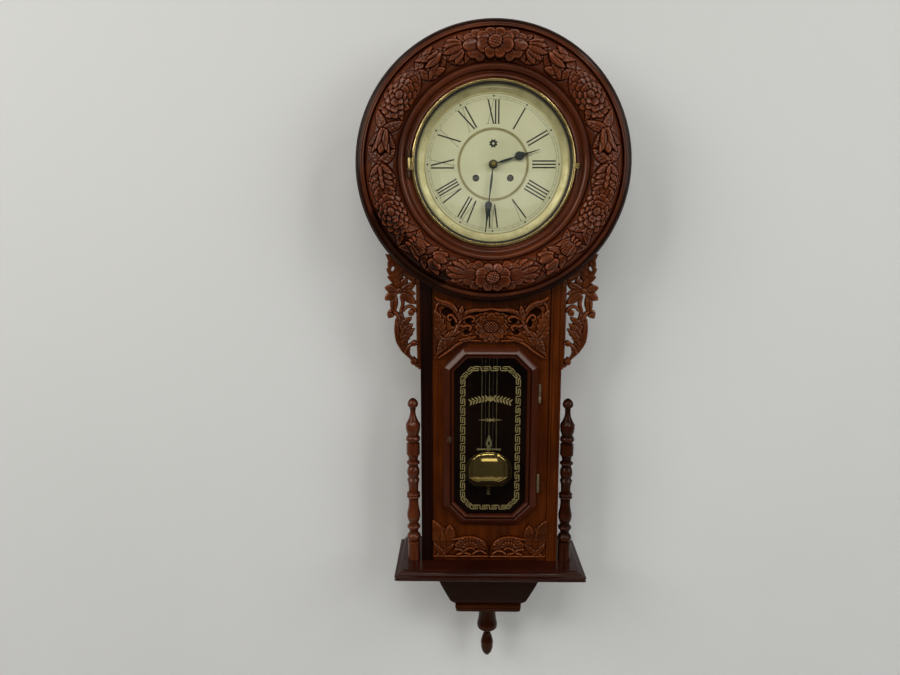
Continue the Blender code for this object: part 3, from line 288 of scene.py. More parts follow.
# Painted shade: near black for the gap between the bezel and the sight ring.
painted_gap_shade = metal("painted_gap_shade_brass", (0.020, 0.017, 0.009), (0.008, 0.007, 0.005), 0.35, 80.0, 0.3)
hinge_brass = metal("hinge_brass", (0.26, 0.20, 0.11), (0.15, 0.11, 0.06), 0.30, 90.0, 0.7)
patina = metal("brown_patina", (0.070, 0.030, 0.013), (0.030, 0.011, 0.006), 0.42, 120.0, 0.6)
sight_brass = metal("sight_brass", (0.66, 0.57, 0.32), (0.50, 0.42, 0.21), 0.34, 60.0, 0.4)
rod_brass = metal("rod_brass", (0.36, 0.29, 0.15), (0.24, 0.19, 0.09), 0.34, 60.0, 0.8)
satin_brass = metal("satin_brass", (0.50, 0.43, 0.22), (0.36, 0.30, 0.14), 0.34, 60.0, 0.6)
polished_brass = metal("polished_brass", (0.66, 0.47, 0.17), (0.50, 0.33, 0.10), 0.13, 12.0, 0.95, 0.0)
dull_brass = metal("movement_brass", (0.50, 0.37, 0.16), (0.26, 0.19, 0.08), 0.30)
hand_steel = metal("hand_steel", (0.050, 0.056, 0.054), (0.030, 0.034, 0.033), 0.38, 160.0, 0.4)
plain_steel = metal("plain_steel", (0.30, 0.30, 0.29), (0.17, 0.16, 0.15), 0.34, 90.0)
dial_paint = painted_dial()
ink = thin_coat("printed_ink", 420.0, 3.0, (0.50, 0.78, 0.0, 0.5), (0.010, 0.011, 0.010),
                (0.075, 0.070, 0.050), (0.45, 0.7))
gold = thin_coat("gilding", 300.0, 4.0, (0.42, 0.72), (0.36, 0.29, 0.11), (0.15, 0.11, 0.04), (0.38, 0.55),
                 0.25)
glass = clear_glass()


# Meshes


def add_piece(name, shape, material, body, slot, replaces=(), sharp=35.0, **layers):
    """A mesh from (x, depth, z) points in millimetres and faces, riding one of the clock's bodies."""
    points, faces = np.asarray(shape[0], float), shape[1]
    placed = np.column_stack([points[:, 0], -points[:, 1], points[:, 2]]) / 1000.0
    mesh = bpy.data.meshes.new(name)
    mesh.from_pydata(placed.tolist(), [], faces)
    loose = bmesh.new()
    loose.from_mesh(mesh)
    bmesh.ops.recalc_face_normals(loose, faces=loose.faces)
    loose.to_mesh(mesh)
    loose.free()
    for key, values in layers.items():
        kind, field = ("FLOAT", "value") if values.ndim == 1 else ("FLOAT_VECTOR", "vector")
        layer = mesh.attributes.new(key, kind, "POINT")
        layer.data.foreach_set(field, values.astype(np.float32).ravel())
    mesh.materials.append(material)
    mesh.shade_smooth()
    mesh.set_sharp_from_angle(angle=math.radians(sharp))
    made = bpy.data.objects.new(name, mesh)
    bpy.context.scene.collection.objects.link(made)
    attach(made, body)
    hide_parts(*replaces)


def joined(parts):
    """Several (points, faces) shapes as one."""
    points, faces = [], []
    for part_points, part_faces in parts:
        shift = len(points)
        points += [tuple(point) for point in part_points]
        faces += [[index + shift for index in face] for face in part_faces]
    return points, faces


def loft(rings, round_trip=False):
    """Rings of equal length joined in order, with their ends capped or joined to each other."""
    count = len(rings[0])
    points = [point for ring in rings for point in ring]
    faces = []
    last = len(rings) if round_trip else len(rings) - 1
    for row in range(last):
        low = row * count
        high = ((row + 1) % len(rings)) * count
        for i in range(count):
            j = (i + 1) % count
            faces.append([low + i, low + j, high + j, high + i])
    if not round_trip:
        faces.append(list(range(count)))
        faces.append([len(points) - count + i for i in range(count)])
    return points, faces


def arcs(marks, steps=6):
    """A profile through (a, b) marks, or (a, b, swell) where the run to the next mark stands off its chord.

    The swell is to the left of travel.
    """
    line = []
    for (a0, b0, *rest), (a1, b1, *_) in zip(marks, marks[1:]):
        swell = rest[0] if rest else 0.0
        line.append((a0, b0))
        chord = math.hypot(a1 - a0, b1 - b0)
        if abs(swell) < 0.02 or chord < 0.05:
            continue
        swell = math.copysign(min(abs(swell), chord / 2.0), swell)
        radius = (chord ** 2 / 4.0 + swell ** 2) / (2.0 * abs(swell))
        half = math.asin(min(1.0, chord / (2.0 * radius)))
        for k in range(1, steps):
            turn = half * (2.0 * k / steps - 1.0)
            share = 0.5 + radius * math.sin(turn) / chord
            off = math.copysign(radius * math.cos(turn) - radius + abs(swell), swell)
            line.append((a0 + (a1 - a0) * share - (b1 - b0) / chord * off,
                         b0 + (b1 - b0) * share + (a1 - a0) / chord * off))
    line.append(marks[-1][:2])
    return line


def ring_of(radius, sides, centre=(0.0, 0.0)):
    angles = [TURN * i / sides for i in range(sides)]
    return [(centre[0] + radius * math.sin(a), centre[1] + radius * math.cos(a)) for a in angles]


def turned_to_room(profile, sides, centre=(0.0, 0.0), round_trip=True):
    """A (radius, depth) profile turned about an axis that faces the room."""
    rings = [[(x, depth, z) for x, z in ring_of(radius, sides, centre)] for radius, depth in profile]
    return loft(rings, round_trip)


def turned_upright(profile, sides, x, depth):
    """A (radius, z) profile turned about a vertical axis, with its ends capped."""
    rings = [[(x + a, depth + b, z) for a, b in ring_of(radius, sides)] for radius, z in profile]
    return loft(rings)


def box(x, depth, z):
    corners = [(x[0], z[0]), (x[1], z[0]), (x[1], z[1]), (x[0], z[1])]
    return loft([[(a, d, b) for a, b in corners] for d in depth])


def rod(points, radius, sides=12):
    """A round bar along a path of (x, depth, z) points."""
    path = [Vector(point) for point in points]
    rings = []
    for i, point in enumerate(path):
        along = (path[min(i + 1, len(path) - 1)] - path[max(i - 1, 0)]).normalized()
        side = along.cross(Vector((0.0, 1.0, 0.0)))
        side = side.normalized() if side.length > 0.01 else Vector((1.0, 0.0, 0.0))
        other = along.cross(side)
        rings.append([tuple(point + radius * (side * a + other * b)) for a, b in ring_of(1.0, sides)])
    return loft(rings)


def sphere(centre, radius, steps=8, sides=16):
    """A ball with a (x, depth, z) centre."""
    profile = []
    for i in range(steps + 1):
        angle = math.pi * (0.03 + 0.94 * i / steps)
        profile.append((radius * math.sin(angle), centre[1] - radius * math.cos(angle)))
    return turned_to_room(profile, sides, (centre[0], centre[2]), False)


def eased(share):
    share = np.clip(share, 0.0, 1.0)
    return share * share * (3.0 - 2.0 * share)


def plain_layers(points, upright, tone=0.0, shift=0.0, cavity=0.48):
    """Grain up the piece or from side to side, with an even tone."""
    x, depth, z = np.asarray(points, float).T
    along, across = (z, x) if upright else (x, z)
    grain = np.column_stack([along, across + shift, depth]) / 1000.0
    return {"grain": grain, "tone": np.full(len(x), tone), "cavity": np.full(len(x), cavity)}


# Carving


def curve_through(points, steps=6):
    """Points on a smooth curve through the given ones."""
    given = [np.asarray(point, float) for point in points]
    ends = [2 * given[0] - given[1], *given, 2 * given[-1] - given[-2]]
    line = []
    for a, b, c, d in zip(ends, ends[1:], ends[2:], ends[3:]):
        for k in range(steps):
            t = k / steps
            line.append(0.5 * (2 * b + (c - a) * t + (2 * a - 5 * b + 4 * c - d) * t ** 2
                               + (3 * b - a - 3 * c + d) * t ** 3))
    line.append(given[-1])
    return np.array(line)


class Relief:
    """A carved surface: each grid point's height over the ground, and how far inside the wood it lies."""

    def __init__(self, x, z):
        self.x = x
        self.z = z
        self.height = np.zeros(x.shape)
        self.inside = np.full(x.shape, -20.0)

    def lay(self, centre, reach, shape, groove=0.9, edge=1.1):
        """Puts a motif over what is there: a groove round it, then its own height inside a rounded edge."""
        near = (self.x - centre[0]) ** 2 + (self.z - centre[1]) ** 2 < reach ** 2
        if not near.any():
            return
        inside, height = shape(self.x[near], self.z[near])
        low = self.height[near] - groove * np.exp(-(np.minimum(inside, 0.0) / 0.8) ** 2)
        rise = np.sin(np.clip(inside / edge, 0.0, 1.0) * math.pi / 2.0)
        self.height[near] = low + (height - low) * rise
        self.inside[near] = np.maximum(self.inside[near], inside)

    def leaf(self, root, tip, width, height, bend=0.0, widest=0.45, blunt=0.8, teeth=0, veins=0, stripes=0,
             cup=0.0, tilt=0.0, rib=0.9, groove=0.9, edge=1.1):
        """A leaf or petal from its root to its tip."""
        root = np.asarray(root, float)
        axis = np.asarray(tip, float) - root
        length = max(float(np.hypot(*axis)), 0.1)
        axis = axis / length
        power = math.log(0.5) / math.log(widest)

        def shape(x, z):
            along = ((x - root[0]) * axis[0] + (z - root[1]) * axis[1]) / length
            t = np.clip(along, 0.0, 1.0)
            across = (z - root[1]) * axis[0] - (x - root[0]) * axis[1] - bend * 4.0 * t * (1.0 - t)
            half = width / 2.0 * np.sin(math.pi * np.clip(t, 0.001, 0.999) ** power) ** blunt
            if teeth:
                half = half * (1.0 - 0.30 * ((1.0 - t) * teeth % 1.0))
            inside = np.minimum(half - np.abs(across), np.minimum(along, 1.0 - along) * length)
            share = np.clip(np.abs(across) / np.maximum(half, 0.05), 0.0, 1.0)
            domed = 1.0 - 0.45 * share ** 2
            hollow = 0.52 + 0.48 * np.maximum(share, np.clip(2.2 * t - 1.2, 0.0, 1.0)) ** 2
            level = height * ((1.0 - cup) * domed + cup * hollow) + tilt * t
            level = level - rib * np.exp(-(across / 0.75) ** 2)
            if veins:
                level = level - 0.5 * (0.5 + 0.5 * np.cos(TURN * (t * veins - 0.7 * share))) ** 2
            if stripes:
                stripe = np.cos(TURN * across / max(half.max(), 0.1) * stripes / 2.0)
                level = level - 0.7 * (0.5 + 0.5 * stripe) ** 2
            return inside, level

        middle = root + axis * length / 2.0
        self.lay(middle, length / 2.0 + width / 2.0 + abs(bend) + 3.0, shape, groove, edge)

    def disc(self, centre, radii, height, turn=0.0, hatch=0.0, crossed=False, dome=0.35, groove=1.1):
        """A round or oval boss, plain or hatched."""
        c, s = math.cos(turn), math.sin(turn)

        def shape(x, z):
            a = (x - centre[0]) * c + (z - centre[1]) * s
            b = (z - centre[1]) * c - (x - centre[0]) * s
            share = np.hypot(a / radii[0], b / radii[1])
            inside = (1.0 - share) * min(radii)
            level = height * (1.0 - dome * np.clip(share, 0.0, 1.0) ** 2)
            if hatch:
                level = level - 1.5 * (0.5 + 0.5 * np.cos(TURN * (a + b) / hatch)) ** 2
            if hatch and crossed:
                level = level - 1.5 * (0.5 + 0.5 * np.cos(TURN * (a - b) / hatch)) ** 2
            return inside, level

        self.lay(centre, max(radii) + 3.0, shape, groove)

    def stroke(self, points, widths, height, ribs=0, groove=0.9, flat=0.35):
        """A rounded band along a curve, as wide as the widths along it."""
        line = curve_through(points)
        wide = np.interp(np.linspace(0.0, 1.0, len(line)), np.linspace(0.0, 1.0, len(widths)), widths)
        centre = (line.min(0) + line.max(0)) / 2.0
        reach = float(np.hypot(*(line.max(0) - line.min(0)))) / 2.0 + max(widths) / 2.0 + 3.0

        def shape(x, z):
            best = np.full(x.shape, -99.0)
            share = np.ones(x.shape)
            sided = np.zeros(x.shape)
            for (ax, az), (bx, bz), wa, wb in zip(line, line[1:], wide, wide[1:]):
                dx, dz = bx - ax, bz - az
                run = max(dx * dx + dz * dz, 1e-6)
                t = np.clip(((x - ax) * dx + (z - az) * dz) / run, 0.0, 1.0)
                ox, oz = x - ax - t * dx, z - az - t * dz
                away = np.hypot(ox, oz)
                half = (wa + (wb - wa) * t) / 2.0
                inside = half - away
                better = inside > best
                best = np.where(better, inside, best)
                share = np.where(better, np.clip(away / half, 0.0, 1.0), share)
                side = np.sign(dx * oz - dz * ox)
                sided = np.where(better, side * np.clip(away / half, 0.0, 1.0), sided)
            level = height * (1.0 - flat * share ** 2)
            if ribs:
                level = level - 0.8 * (0.5 + 0.5 * np.cos(TURN * (sided * ribs / 2.0 + 0.5))) ** 3
            return best, level

        self.lay(centre, reach, shape, groove)

    def flower(self, centre, radii, petals, height, turn=0.0, start=0.2, full=1.0, **kind):
        """A ring of petals, round or oval."""
        for i in range(petals):
            angle = turn + TURN * i / petals
            out = np.array([radii[0] * math.cos(angle), radii[1] * math.sin(angle)])
            width = full * TURN * 0.72 * float(np.hypot(*out)) / petals
            self.leaf(centre + start * out, centre + out, width, height, **kind)

    def fan(self, centre, radii, low, high, petals, start, width, height, **kind):
        """Petals in an arc between two angles in degrees, anticlockwise from the right."""
        for i in range(petals):
            angle = math.radians(low + (high - low) * i / (petals - 1))
            out = np.array([radii[0] * math.cos(angle), radii[1] * math.sin(angle)])
            self.leaf(centre + start * out, centre + out, width, height, **kind)

    def cut(self, centre, radii, turn=0.0, floor=None):
        """A hole sawn through, or sunk to a floor."""
        c, s = math.cos(turn), math.sin(turn)
        a = (self.x - centre[0]) * c + (self.z - centre[1]) * s
        b = (self.z - centre[1]) * c - (self.x - centre[0]) * s
        hole = (1.0 - np.hypot(a / radii[0], b / radii[1])) * min(radii)
        if floor is None:
            self.inside = np.minimum(self.inside, -hole)
        else:
            sunk = np.clip(hole / 1.2 + 0.5, 0.0, 1.0)
            self.height = self.height + (np.minimum(floor, self.height) - self.height) * sunk

    def fill(self, outline, height):
        """A flat ground inside a closed outline."""
        points = np.asarray(outline, float)
        crossings = np.zeros(self.x.shape, bool)
        nearest = np.full(self.x.shape, 1e9)
        for (ax, az), (bx, bz) in zip(points, np.roll(points, -1, axis=0)):
            dx, dz = bx - ax, bz - az
            t = np.clip(((self.x - ax) * dx + (self.z - az) * dz) / max(dx * dx + dz * dz, 1e-9), 0.0, 1.0)
            nearest = np.minimum(nearest, np.hypot(self.x - ax - t * dx, self.z - az - t * dz))
            if abs(dz) > 1e-9:
                spans = (az > self.z) != (bz > self.z)
                crossings ^= spans & (self.x < ax + dx * (self.z - az) / dz)
        signed = np.where(crossings, nearest, -nearest)
        self.inside = np.maximum(self.inside, signed)
        self.height = np.where(signed > 0.0, np.maximum(self.height, height), self.height)


def softened(values, rounds, wrap):
    """Values averaged with their neighbours several times; the first axis may close on itself."""
    soft = values
    for _ in range(rounds):
        if wrap:
            soft = (np.roll(soft, 1, 0) + soft + np.roll(soft, -1, 0)) / 3.0
        else:
            edge = np.pad(soft, ((1, 1), (0, 0)), mode="edge")
            soft = (edge[:-2] + edge[1:-1] + edge[2:]) / 3.0
        edge = np.pad(soft, ((0, 0), (1, 1)), mode="edge")
        soft = (edge[:, :-2] + edge[:, 1:-1] + edge[:, 2:]) / 3.0
    return soft


def cavities(height, wrap=False, strength=0.27):
    """How deep each point lies below its surroundings: 1 in a groove, 0 on a crest."""
    return np.clip(0.5 + strength * (softened(height, 7, wrap) - height), 0.0, 1.0)


def gouge_marks(x, z, size=2.4, depth=0.22):
    """The small uneven facets a gouge leaves."""
    across = np.sin(x / size + 1.7 * np.sin(z / (size * 1.9)))
    up = np.sin(z / size + 1.3 * np.sin(x / (size * 2.3)))
    return depth * across * up


def cell_corners(values):
    """The values at the four corners of every grid cell, in order round it."""
    return [values[:-1, :-1], values[1:, :-1], values[1:, 1:], values[:-1, 1:]]


def carved_solid(relief, front, back, pitch):
    """A carved board with its relief, sawn edge and flat back: points, faces and each point's grid place."""
    kept = relief.inside > -0.45 * pitch
    corners = cell_corners(kept)
    count = sum(corner.astype(int) for corner in corners)
    around = cell_corners(np.arange(kept.size).reshape(kept.shape))
    full = count == 4
    cells = [list(cell) for cell in zip(*(corner[full].tolist() for corner in around))]
    for missing in range(4):
        lone = (count == 3) & ~corners[missing]
        sides = [around[k][lone].tolist() for k in range(4) if k != missing]
        cells += [list(cell) for cell in zip(*sides)]
    touched = np.zeros(kept.shape, bool)
    for corner in cell_corners(touched):
        corner |= count < 4
    slope_x, slope_z = np.gradient(relief.inside, pitch)
    steep = np.maximum(slope_x ** 2 + slope_z ** 2, 0.25)
    limit = 0.7 * pitch
    x = relief.x - np.where(touched, np.clip(relief.inside * slope_x / steep, -limit, limit), 0.0)
    z = relief.z - np.where(touched, np.clip(relief.inside * slope_z / steep, -limit, limit), 0.0)
    flat_cells = np.unique(np.concatenate([np.array(cell) for cell in cells]))
    renumber = np.full(kept.size, -1)
    renumber[flat_cells] = np.arange(len(flat_cells))
    top = np.column_stack([x.ravel(), (front + relief.height).ravel(), z.ravel()])[flat_cells]
    bottom = top.copy()
    bottom[:, 1] = back
    size = len(top)
    faces = [[int(renumber[i]) for i in cell] for cell in cells]
    directed = dict.fromkeys((a, b) for face in faces for a, b in zip(face, face[1:] + face[:1]))
    walls = [[b, a, a + size, b + size] for a, b in directed if (b, a) not in directed]
    under = [[i + size for i in reversed(face)] for face in faces]
    return np.vstack([top, bottom]), faces + under + walls, flat_cells


def add_carving(name, relief, back, front, pitch, replaced, side=1, upright=False):
    """A carved board on the right of the clock, or its mirror on the left."""
    relief.height = np.maximum(relief.height + gouge_marks(relief.x, relief.z), back - front + 0.5)
    points, faces, places = carved_solid(relief, front, back, pitch)
    # Low ground, sunk openings and grooves are raised in the cavity value: painted shade with dirt.
    low = np.clip(0.5 - 0.2 * relief.height, 0.0, 1.0)
    cavity = np.maximum(cavities(relief.height), low).ravel()[places]
    cavity = np.concatenate([cavity, np.full(len(places), 0.5)])
    points[:, 0] *= side
    layers = plain_layers(points, upright, 0.0, 40.0 * side, cavity)
    add_piece(name, (points, faces), carved_brown, "case", "mahogany", [replaced], 70.0, **layers)


def grid(low, high, pitch):
    """Grid points of a rectangle, given by (x, z) corners in millimetres."""
    across = np.arange(low[0], high[0] + pitch, pitch)
    up = np.arange(low[1], high[1] + pitch, pitch)
    return np.meshgrid(across, up, indexing="ij")


# The head ring's carving


def ring_spot(angle, flip):
    """Places on the ring as (clockwise, outward) distances from its crest at an angle from the top."""
    def place(clockwise, outward):
        turn = flip * (math.radians(angle) + clockwise / RING_PEAK)
        return np.array([(RING_PEAK + outward) * math.sin(turn), (RING_PEAK + outward) * math.cos(turn)])
    return place


def ring_leaf(relief, place, start, end, width, height, flip, **kind):
    kind["bend"] = -flip * kind.get("bend", 0.0)
    relief.leaf(place(*start), place(*end), width, 1.4 * height, groove=1.6, **kind)


def rosette(relief, angle, flip, crossed):
    """A round flower with a hatched centre and two rows of petals."""
    place = ring_spot(angle, flip)
    centre = place(0.0, 1.0)
    outer = ((47.0, -14.0, 17.0), (47.0, 14.0, 17.0), (52.0, 0.0, 19.0), (34.0, -22.0, 17.0),
             (34.0, 22.0, 17.0))
    for side in (-1.0, 1.0):
        for along, out, width in outer:
            relief.leaf(place(side * 14.0, 0.3 * out), place(side * along, out), width, 3.4, blunt=0.55,
                        widest=0.66, cup=0.4, tilt=2.4, rib=0.5, groove=1.6)
    relief.flower(centre, (31.0, 24.4), 8, 4.4, turn=0.39, start=0.20, full=1.24, blunt=0.62, widest=0.62,
                  cup=0.8, tilt=4.0, rib=0.5, groove=1.8)
    relief.disc(centre, (11.4, 10.2), 8.6, turn=0.5, hatch=5.6, crossed=crossed, dome=0.15, groove=2.0)


def chrysanthemum(relief, angle, flip):
    """Rows of round-tipped petals that overlap like scales round a small centre."""
    place = ring_spot(angle, flip)
    rows = ((1.0, 15, 2.2), (0.74, 11, 4.2), (0.48, 7, 6.0))
    for row, (share, petals, height) in enumerate(rows):
        for i in range(petals):
            turn = TURN * (i + 0.5 * row) / petals
            out = np.array([40.0 * math.cos(turn), 23.5 * math.sin(turn)])
            width = 12.0 if share > 0.9 else 13.0
            start = max(0.0, share - 15.0 / float(np.hypot(*out)))
            relief.leaf(place(*(start * out)), place(*(share * out)), width, height, blunt=0.34, widest=0.64,
                        cup=0.3, tilt=2.0, rib=0.0, groove=1.7, edge=1.3)
    level = math.radians(-angle * flip)
    relief.disc(place(0.0, 0.0), (7.6, 6.2), 9.0, turn=level, hatch=3.8, dome=0.2, groove=1.6)


def tulip(relief, angle, flip):
    """Long smooth petals opening away from the top, over a pair of leaves."""
    place = ring_spot(angle, flip)
    for side in (1.0, -1.0):
        ring_leaf(relief, place, (-22.0, side * 1.5), (16.0, side * 15.0), 13.0, 4.2, flip,
                  bend=side * 3.0, rib=0.8)
    ring_leaf(relief, place, (-24.0, 0.0), (17.0, 0.0), 19.0, 6.4, flip, stripes=3, blunt=0.65, rib=0.3)
    for side in (1.0, -1.0):
        ring_leaf(relief, place, (-24.0, side * 4.0), (12.0, side * 9.5), 11.0, 5.2, flip, bend=side * 2.0,
                  blunt=0.7)


def whorl(relief, angle, flip):
    """Leaves stacked along a stem."""
    place = ring_spot(angle, flip)
    for step in (22.0, 12.0, 2.0, -8.0):
        for out in (1, -1):
            ring_leaf(relief, place, (step - 12.0, out * 2.0), (step + 4.0, out * 19.0), 12.5, 4.8, flip,
                      bend=out * 2.5, veins=4, rib=1.0)
        ring_leaf(relief, place, (step - 9.0, 0.0), (step + 9.0, 0.0), 8.5, 6.2, flip, rib=1.0)


def lily(relief, angle, flip):
    """A bud on a bent stem between pointed leaves."""
    place = ring_spot(angle, flip)
    leaves = (((14.0, -4.0), (-16.0, -19.0), 14.0, -3.0), ((12.0, 6.0), (-14.0, 21.0), 13.0, 3.0),
              ((-14.0, -2.0), (20.0, -20.0), 12.0, -2.0), ((-12.0, 4.0), (20.0, 19.0), 13.0, 2.0))
    for start, end, width, bend in leaves:
        ring_leaf(relief, place, start, end, width, 4.4, flip, bend=bend, veins=5)
    ring_leaf(relief, place, (-20.0, 4.0), (15.0, -3.0), 13.0, 6.6, flip, stripes=2, blunt=0.7, bend=2.0)
    ring_leaf(relief, place, (-18.0, 9.0), (6.0, 7.0), 8.0, 5.6, flip, bend=2.0)


def pomegranate(relief, angle, flip):
    """A striped fruit with a toothed crown, between smooth leaves."""
    place = ring_spot(angle, flip)
    for out in (17.0, -17.0):
        ring_leaf(relief, place, (-20.0, out * 0.3), (14.0, out), 13.0, 4.0, flip, bend=out * 0.15)
    relief.disc(place(0.0, 0.0), (13.5, 12.5), 8.6, turn=math.radians(-angle * flip), dome=0.35, groove=2.0)
    for out in (-8.0, -4.0, 0.0, 4.0, 8.0):
        height = 6.4 - 0.1 * abs(out)
        ring_leaf(relief, place, (-12.0, out * 0.35), (12.0, out * 1.05), 5.6, height, flip, blunt=0.5,
                  rib=0.0)
    for out in (-7.0, 0.0, 7.0):
        ring_leaf(relief, place, (-10.0, out * 0.5), (-22.0, out * 1.2), 7.5, 6.0, flip, rib=0.6)


def smooth_leaves(relief, angle, flip):
    """Three broad plain leaves that overlap."""
    place = ring_spot(angle, flip)
    leaves = (((-14.0, 8.0), (10.0, 19.0), 14.0, 4.4, 2.0), ((-16.0, -8.0), (10.0, -20.0), 14.0, 4.2, -2.0),
              ((-16.0, 5.0), (9.0, 8.0), 17.0, 5.6, 1.0), ((-12.0, -5.0), (13.0, -7.0), 17.0, 6.4, 1.0))
    for start, end, width, height, bend in leaves:
        ring_leaf(relief, place, start, end, width, height, flip, bend=bend, blunt=0.55, rib=0.5)


def leaf_spray(relief, angle, flip, points_back):
    """Veined leaves that fan out beside a flower."""
    place = ring_spot(angle, flip)
    way = -1.0 if points_back else 1.0
    leaves = ((20.0, 10.0, 12.0), (-20.0, 10.0, 12.0), (12.0, 18.0, 12.0), (-12.0, 18.0, 12.0),
              (0.0, 22.0, 13.0))
    for out, reach, width in leaves:
        ring_leaf(relief, place, (-way * 12.0, out * 0.35), (way * reach, out), width, 4.4, flip,
                  bend=out * 0.08, veins=5, widest=0.5)


def ring_relief(x, z):
    """A ground of leaves all round, and the same run of flowers and fruit down both sides."""
    relief = Relief(x, z)
    relief.inside[:] = 1.0
    for flip in (-1, 1):
        for i in range(22):
            place = ring_spot(5.0 + 8.1 * i, flip)
            lean = 1.0 if i % 2 else -1.0
            ring_leaf(relief, place, (-15.0 * lean, -4.0), (13.0 * lean, 22.5), 16.0, 2.0 + 0.3 * (i % 3),
                      flip, veins=6, bend=2.0)
            ring_leaf(relief, place, (-15.0 * lean, 4.0), (13.0 * lean, -23.0), 16.0, 2.3 - 0.3 * (i % 2),
                      flip, veins=6, bend=-2.0)
        leaf_spray(relief, 19.5, flip, False)
        leaf_spray(relief, 162.5, flip, True)
        lily(relief, 33.0, flip)
        whorl(relief, 97.0, flip)
        tulip(relief, 80.5, flip)
        smooth_leaves(relief, 150.5, flip)
        pomegranate(relief, 138.0, flip)
        chrysanthemum(relief, 55.5, flip)
        chrysanthemum(relief, 115.0, flip)
    rosette(relief, 0.0, 1, False)
    rosette(relief, 180.0, 1, True)
    return relief


def ring_crown(radius):
    """The depth of the ring's rounded band before it is carved."""
    marks = [(156.0, 120.6), (158.5, 124.5), (163.0, 130.0), (170.0, 135.0), (177.0, 137.6), (184.0, 138.4),
             (191.0, 137.6), (198.0, 134.8), (204.0, 130.0), (208.0, 125.5), (211.0, 121.4)]
    return np.interp(radius, *np.transpose(marks))


def ring_tone(x, z):
    """Near black in the rim's cove, partly stain and partly painted shade, and a painted shadow as a darker
    patch at the lower left.
    """
    radius = np.hypot(x, z)
    # The rim's cove: partly stain, partly painted shade.
    cove = eased((radius - 218.6) / 1.2)
    # A painted cast shadow with a ragged edge across the lower left of the ring.
    way = (math.sin(math.radians(226.0)), math.cos(math.radians(226.0)))
    along = x * way[0] + z * way[1]
    across = z * way[0] - x * way[1]
    uneven = 1.6 * np.sin(across / 5.0) + 1.2 * np.sin(across / 2.1)
    block = eased((along - 180.0 + uneven) / 1.5) * eased((84.0 - np.abs(across)) / 1.5)
    return np.maximum(0.86 * cove, 0.80 * block)


def ring_layers(points, cavity):
    """Grain along each of eight mitred blocks."""
    x, depth, z = points[:, 0], points[:, 1], points[:, 2]
    turn = np.arctan2(x, z) % TURN
    block = np.floor(turn / TURN * 8.0)
    middle = (block + 0.5) * TURN / 8.0
    along = x * np.cos(middle) - z * np.sin(middle)
    across = x * np.sin(middle) + z * np.cos(middle)
    grain = np.column_stack([along + 310.0 * block, across + 57.0 * block, depth]) / 1000.0
    return {"grain": grain, "tone": ring_tone(x, z), "cavity": cavity}


def ring_carving():
    """The carved band on a polar grid, closed underneath by a flat back."""
    around, out, back = 1280, 58, 119.0
    turn = np.linspace(0.0, TURN, around, endpoint=False)[:, None]
    radius = np.linspace(RING_INNER, RING_OUTER, out)[None, :]
    x = radius * np.sin(turn)
    z = radius * np.cos(turn)
    share = eased((radius - RING_INNER) / 4.0) * eased((RING_OUTER - radius) / 4.0)
    height = ring_relief(x, z).height * (0.25 + 0.75 * share) + gouge_marks(x, z)
    front = np.stack([x, np.broadcast_to(ring_crown(radius), x.shape) + height, z], 2)
    under = front[:, [-1, 0]].copy()
    under[:, :, 1] = back
    points = np.concatenate([front, under], 1).reshape(-1, 3)
    order = np.arange(around * (out + 2)).reshape(around, out + 2)
    onward = np.roll(order, -1, 0)
    cells = np.stack([order, onward, np.roll(onward, -1, 1), np.roll(order, -1, 1)], 2)
    faces = cells.reshape(-1, 4).tolist()
    # The band's side walls and back are set deep in the cavity value: painted shade in the gaps beside it.
    cavity = np.concatenate([cavities(height, True), np.full((around, 2), 0.9)], 1).ravel()
    add_piece("ring_carving", (points, faces), carved_wood, "case", "mahogany", [], 80.0,
              **ring_layers(points, cavity))


def ring_moulding():
    """The rim with its cove, the ground under the carving, and the mouldings inside it."""
    marks = [
        (128.0, 100.0), (226.2, 100.0), (228.4, 102.5), (228.4, 109.6), (226.6, 111.2),
        (225.6, 111.0, -2.6), (220.4, 119.6), (219.4, 119.9), (219.2, 121.6, 1.1), (216.6, 124.6),
        (216.2, 124.0, 0.9), (212.6, 126.0), (212.2, 125.0), (211.2, 120.4), (208.0, 117.0),
        (159.0, 117.0), (157.2, 121.0), (156.8, 126.8, 0.5), (154.9, 127.4), (154.6, 126.4, -2.4),
        (146.6, 118.6), (146.2, 119.4, 0.9), (143.8, 119.3), (143.6, 118.0, 0.7), (138.0, 117.8),
        (137.8, 117.0), (134.7, 115.8), (128.0, 115.8), (128.0, 100.0),
    ]
    points, faces = turned_to_room(arcs(marks, 7)[:-1], 200)
    points = np.asarray(points)
    radius = np.hypot(points[:, 0], points[:, 2])
    cavity = np.full(len(points), 0.46)
    # Grooves darkened through the cavity value: dirt and painted shade.
    grooves = ((211.3, 1.1, 0.40), (157.0, 1.1, 0.40), (146.4, 0.6, 0.30), (135.6, 1.0, 0.30))
    for groove, width, dirt_and_shade in grooves:
        cavity += dirt_and_shade * np.exp(-((radius - groove) / width) ** 2)
    add_piece("ring_moulding", (points, faces), carved_wood, "case", "mahogany", ["head_ring"], 32.0,
              **ring_layers(points, np.clip(cavity, 0.0, 1.0)))


ring_carving()
ring_moulding()


# Pierced brackets and the reliefs on the trunk


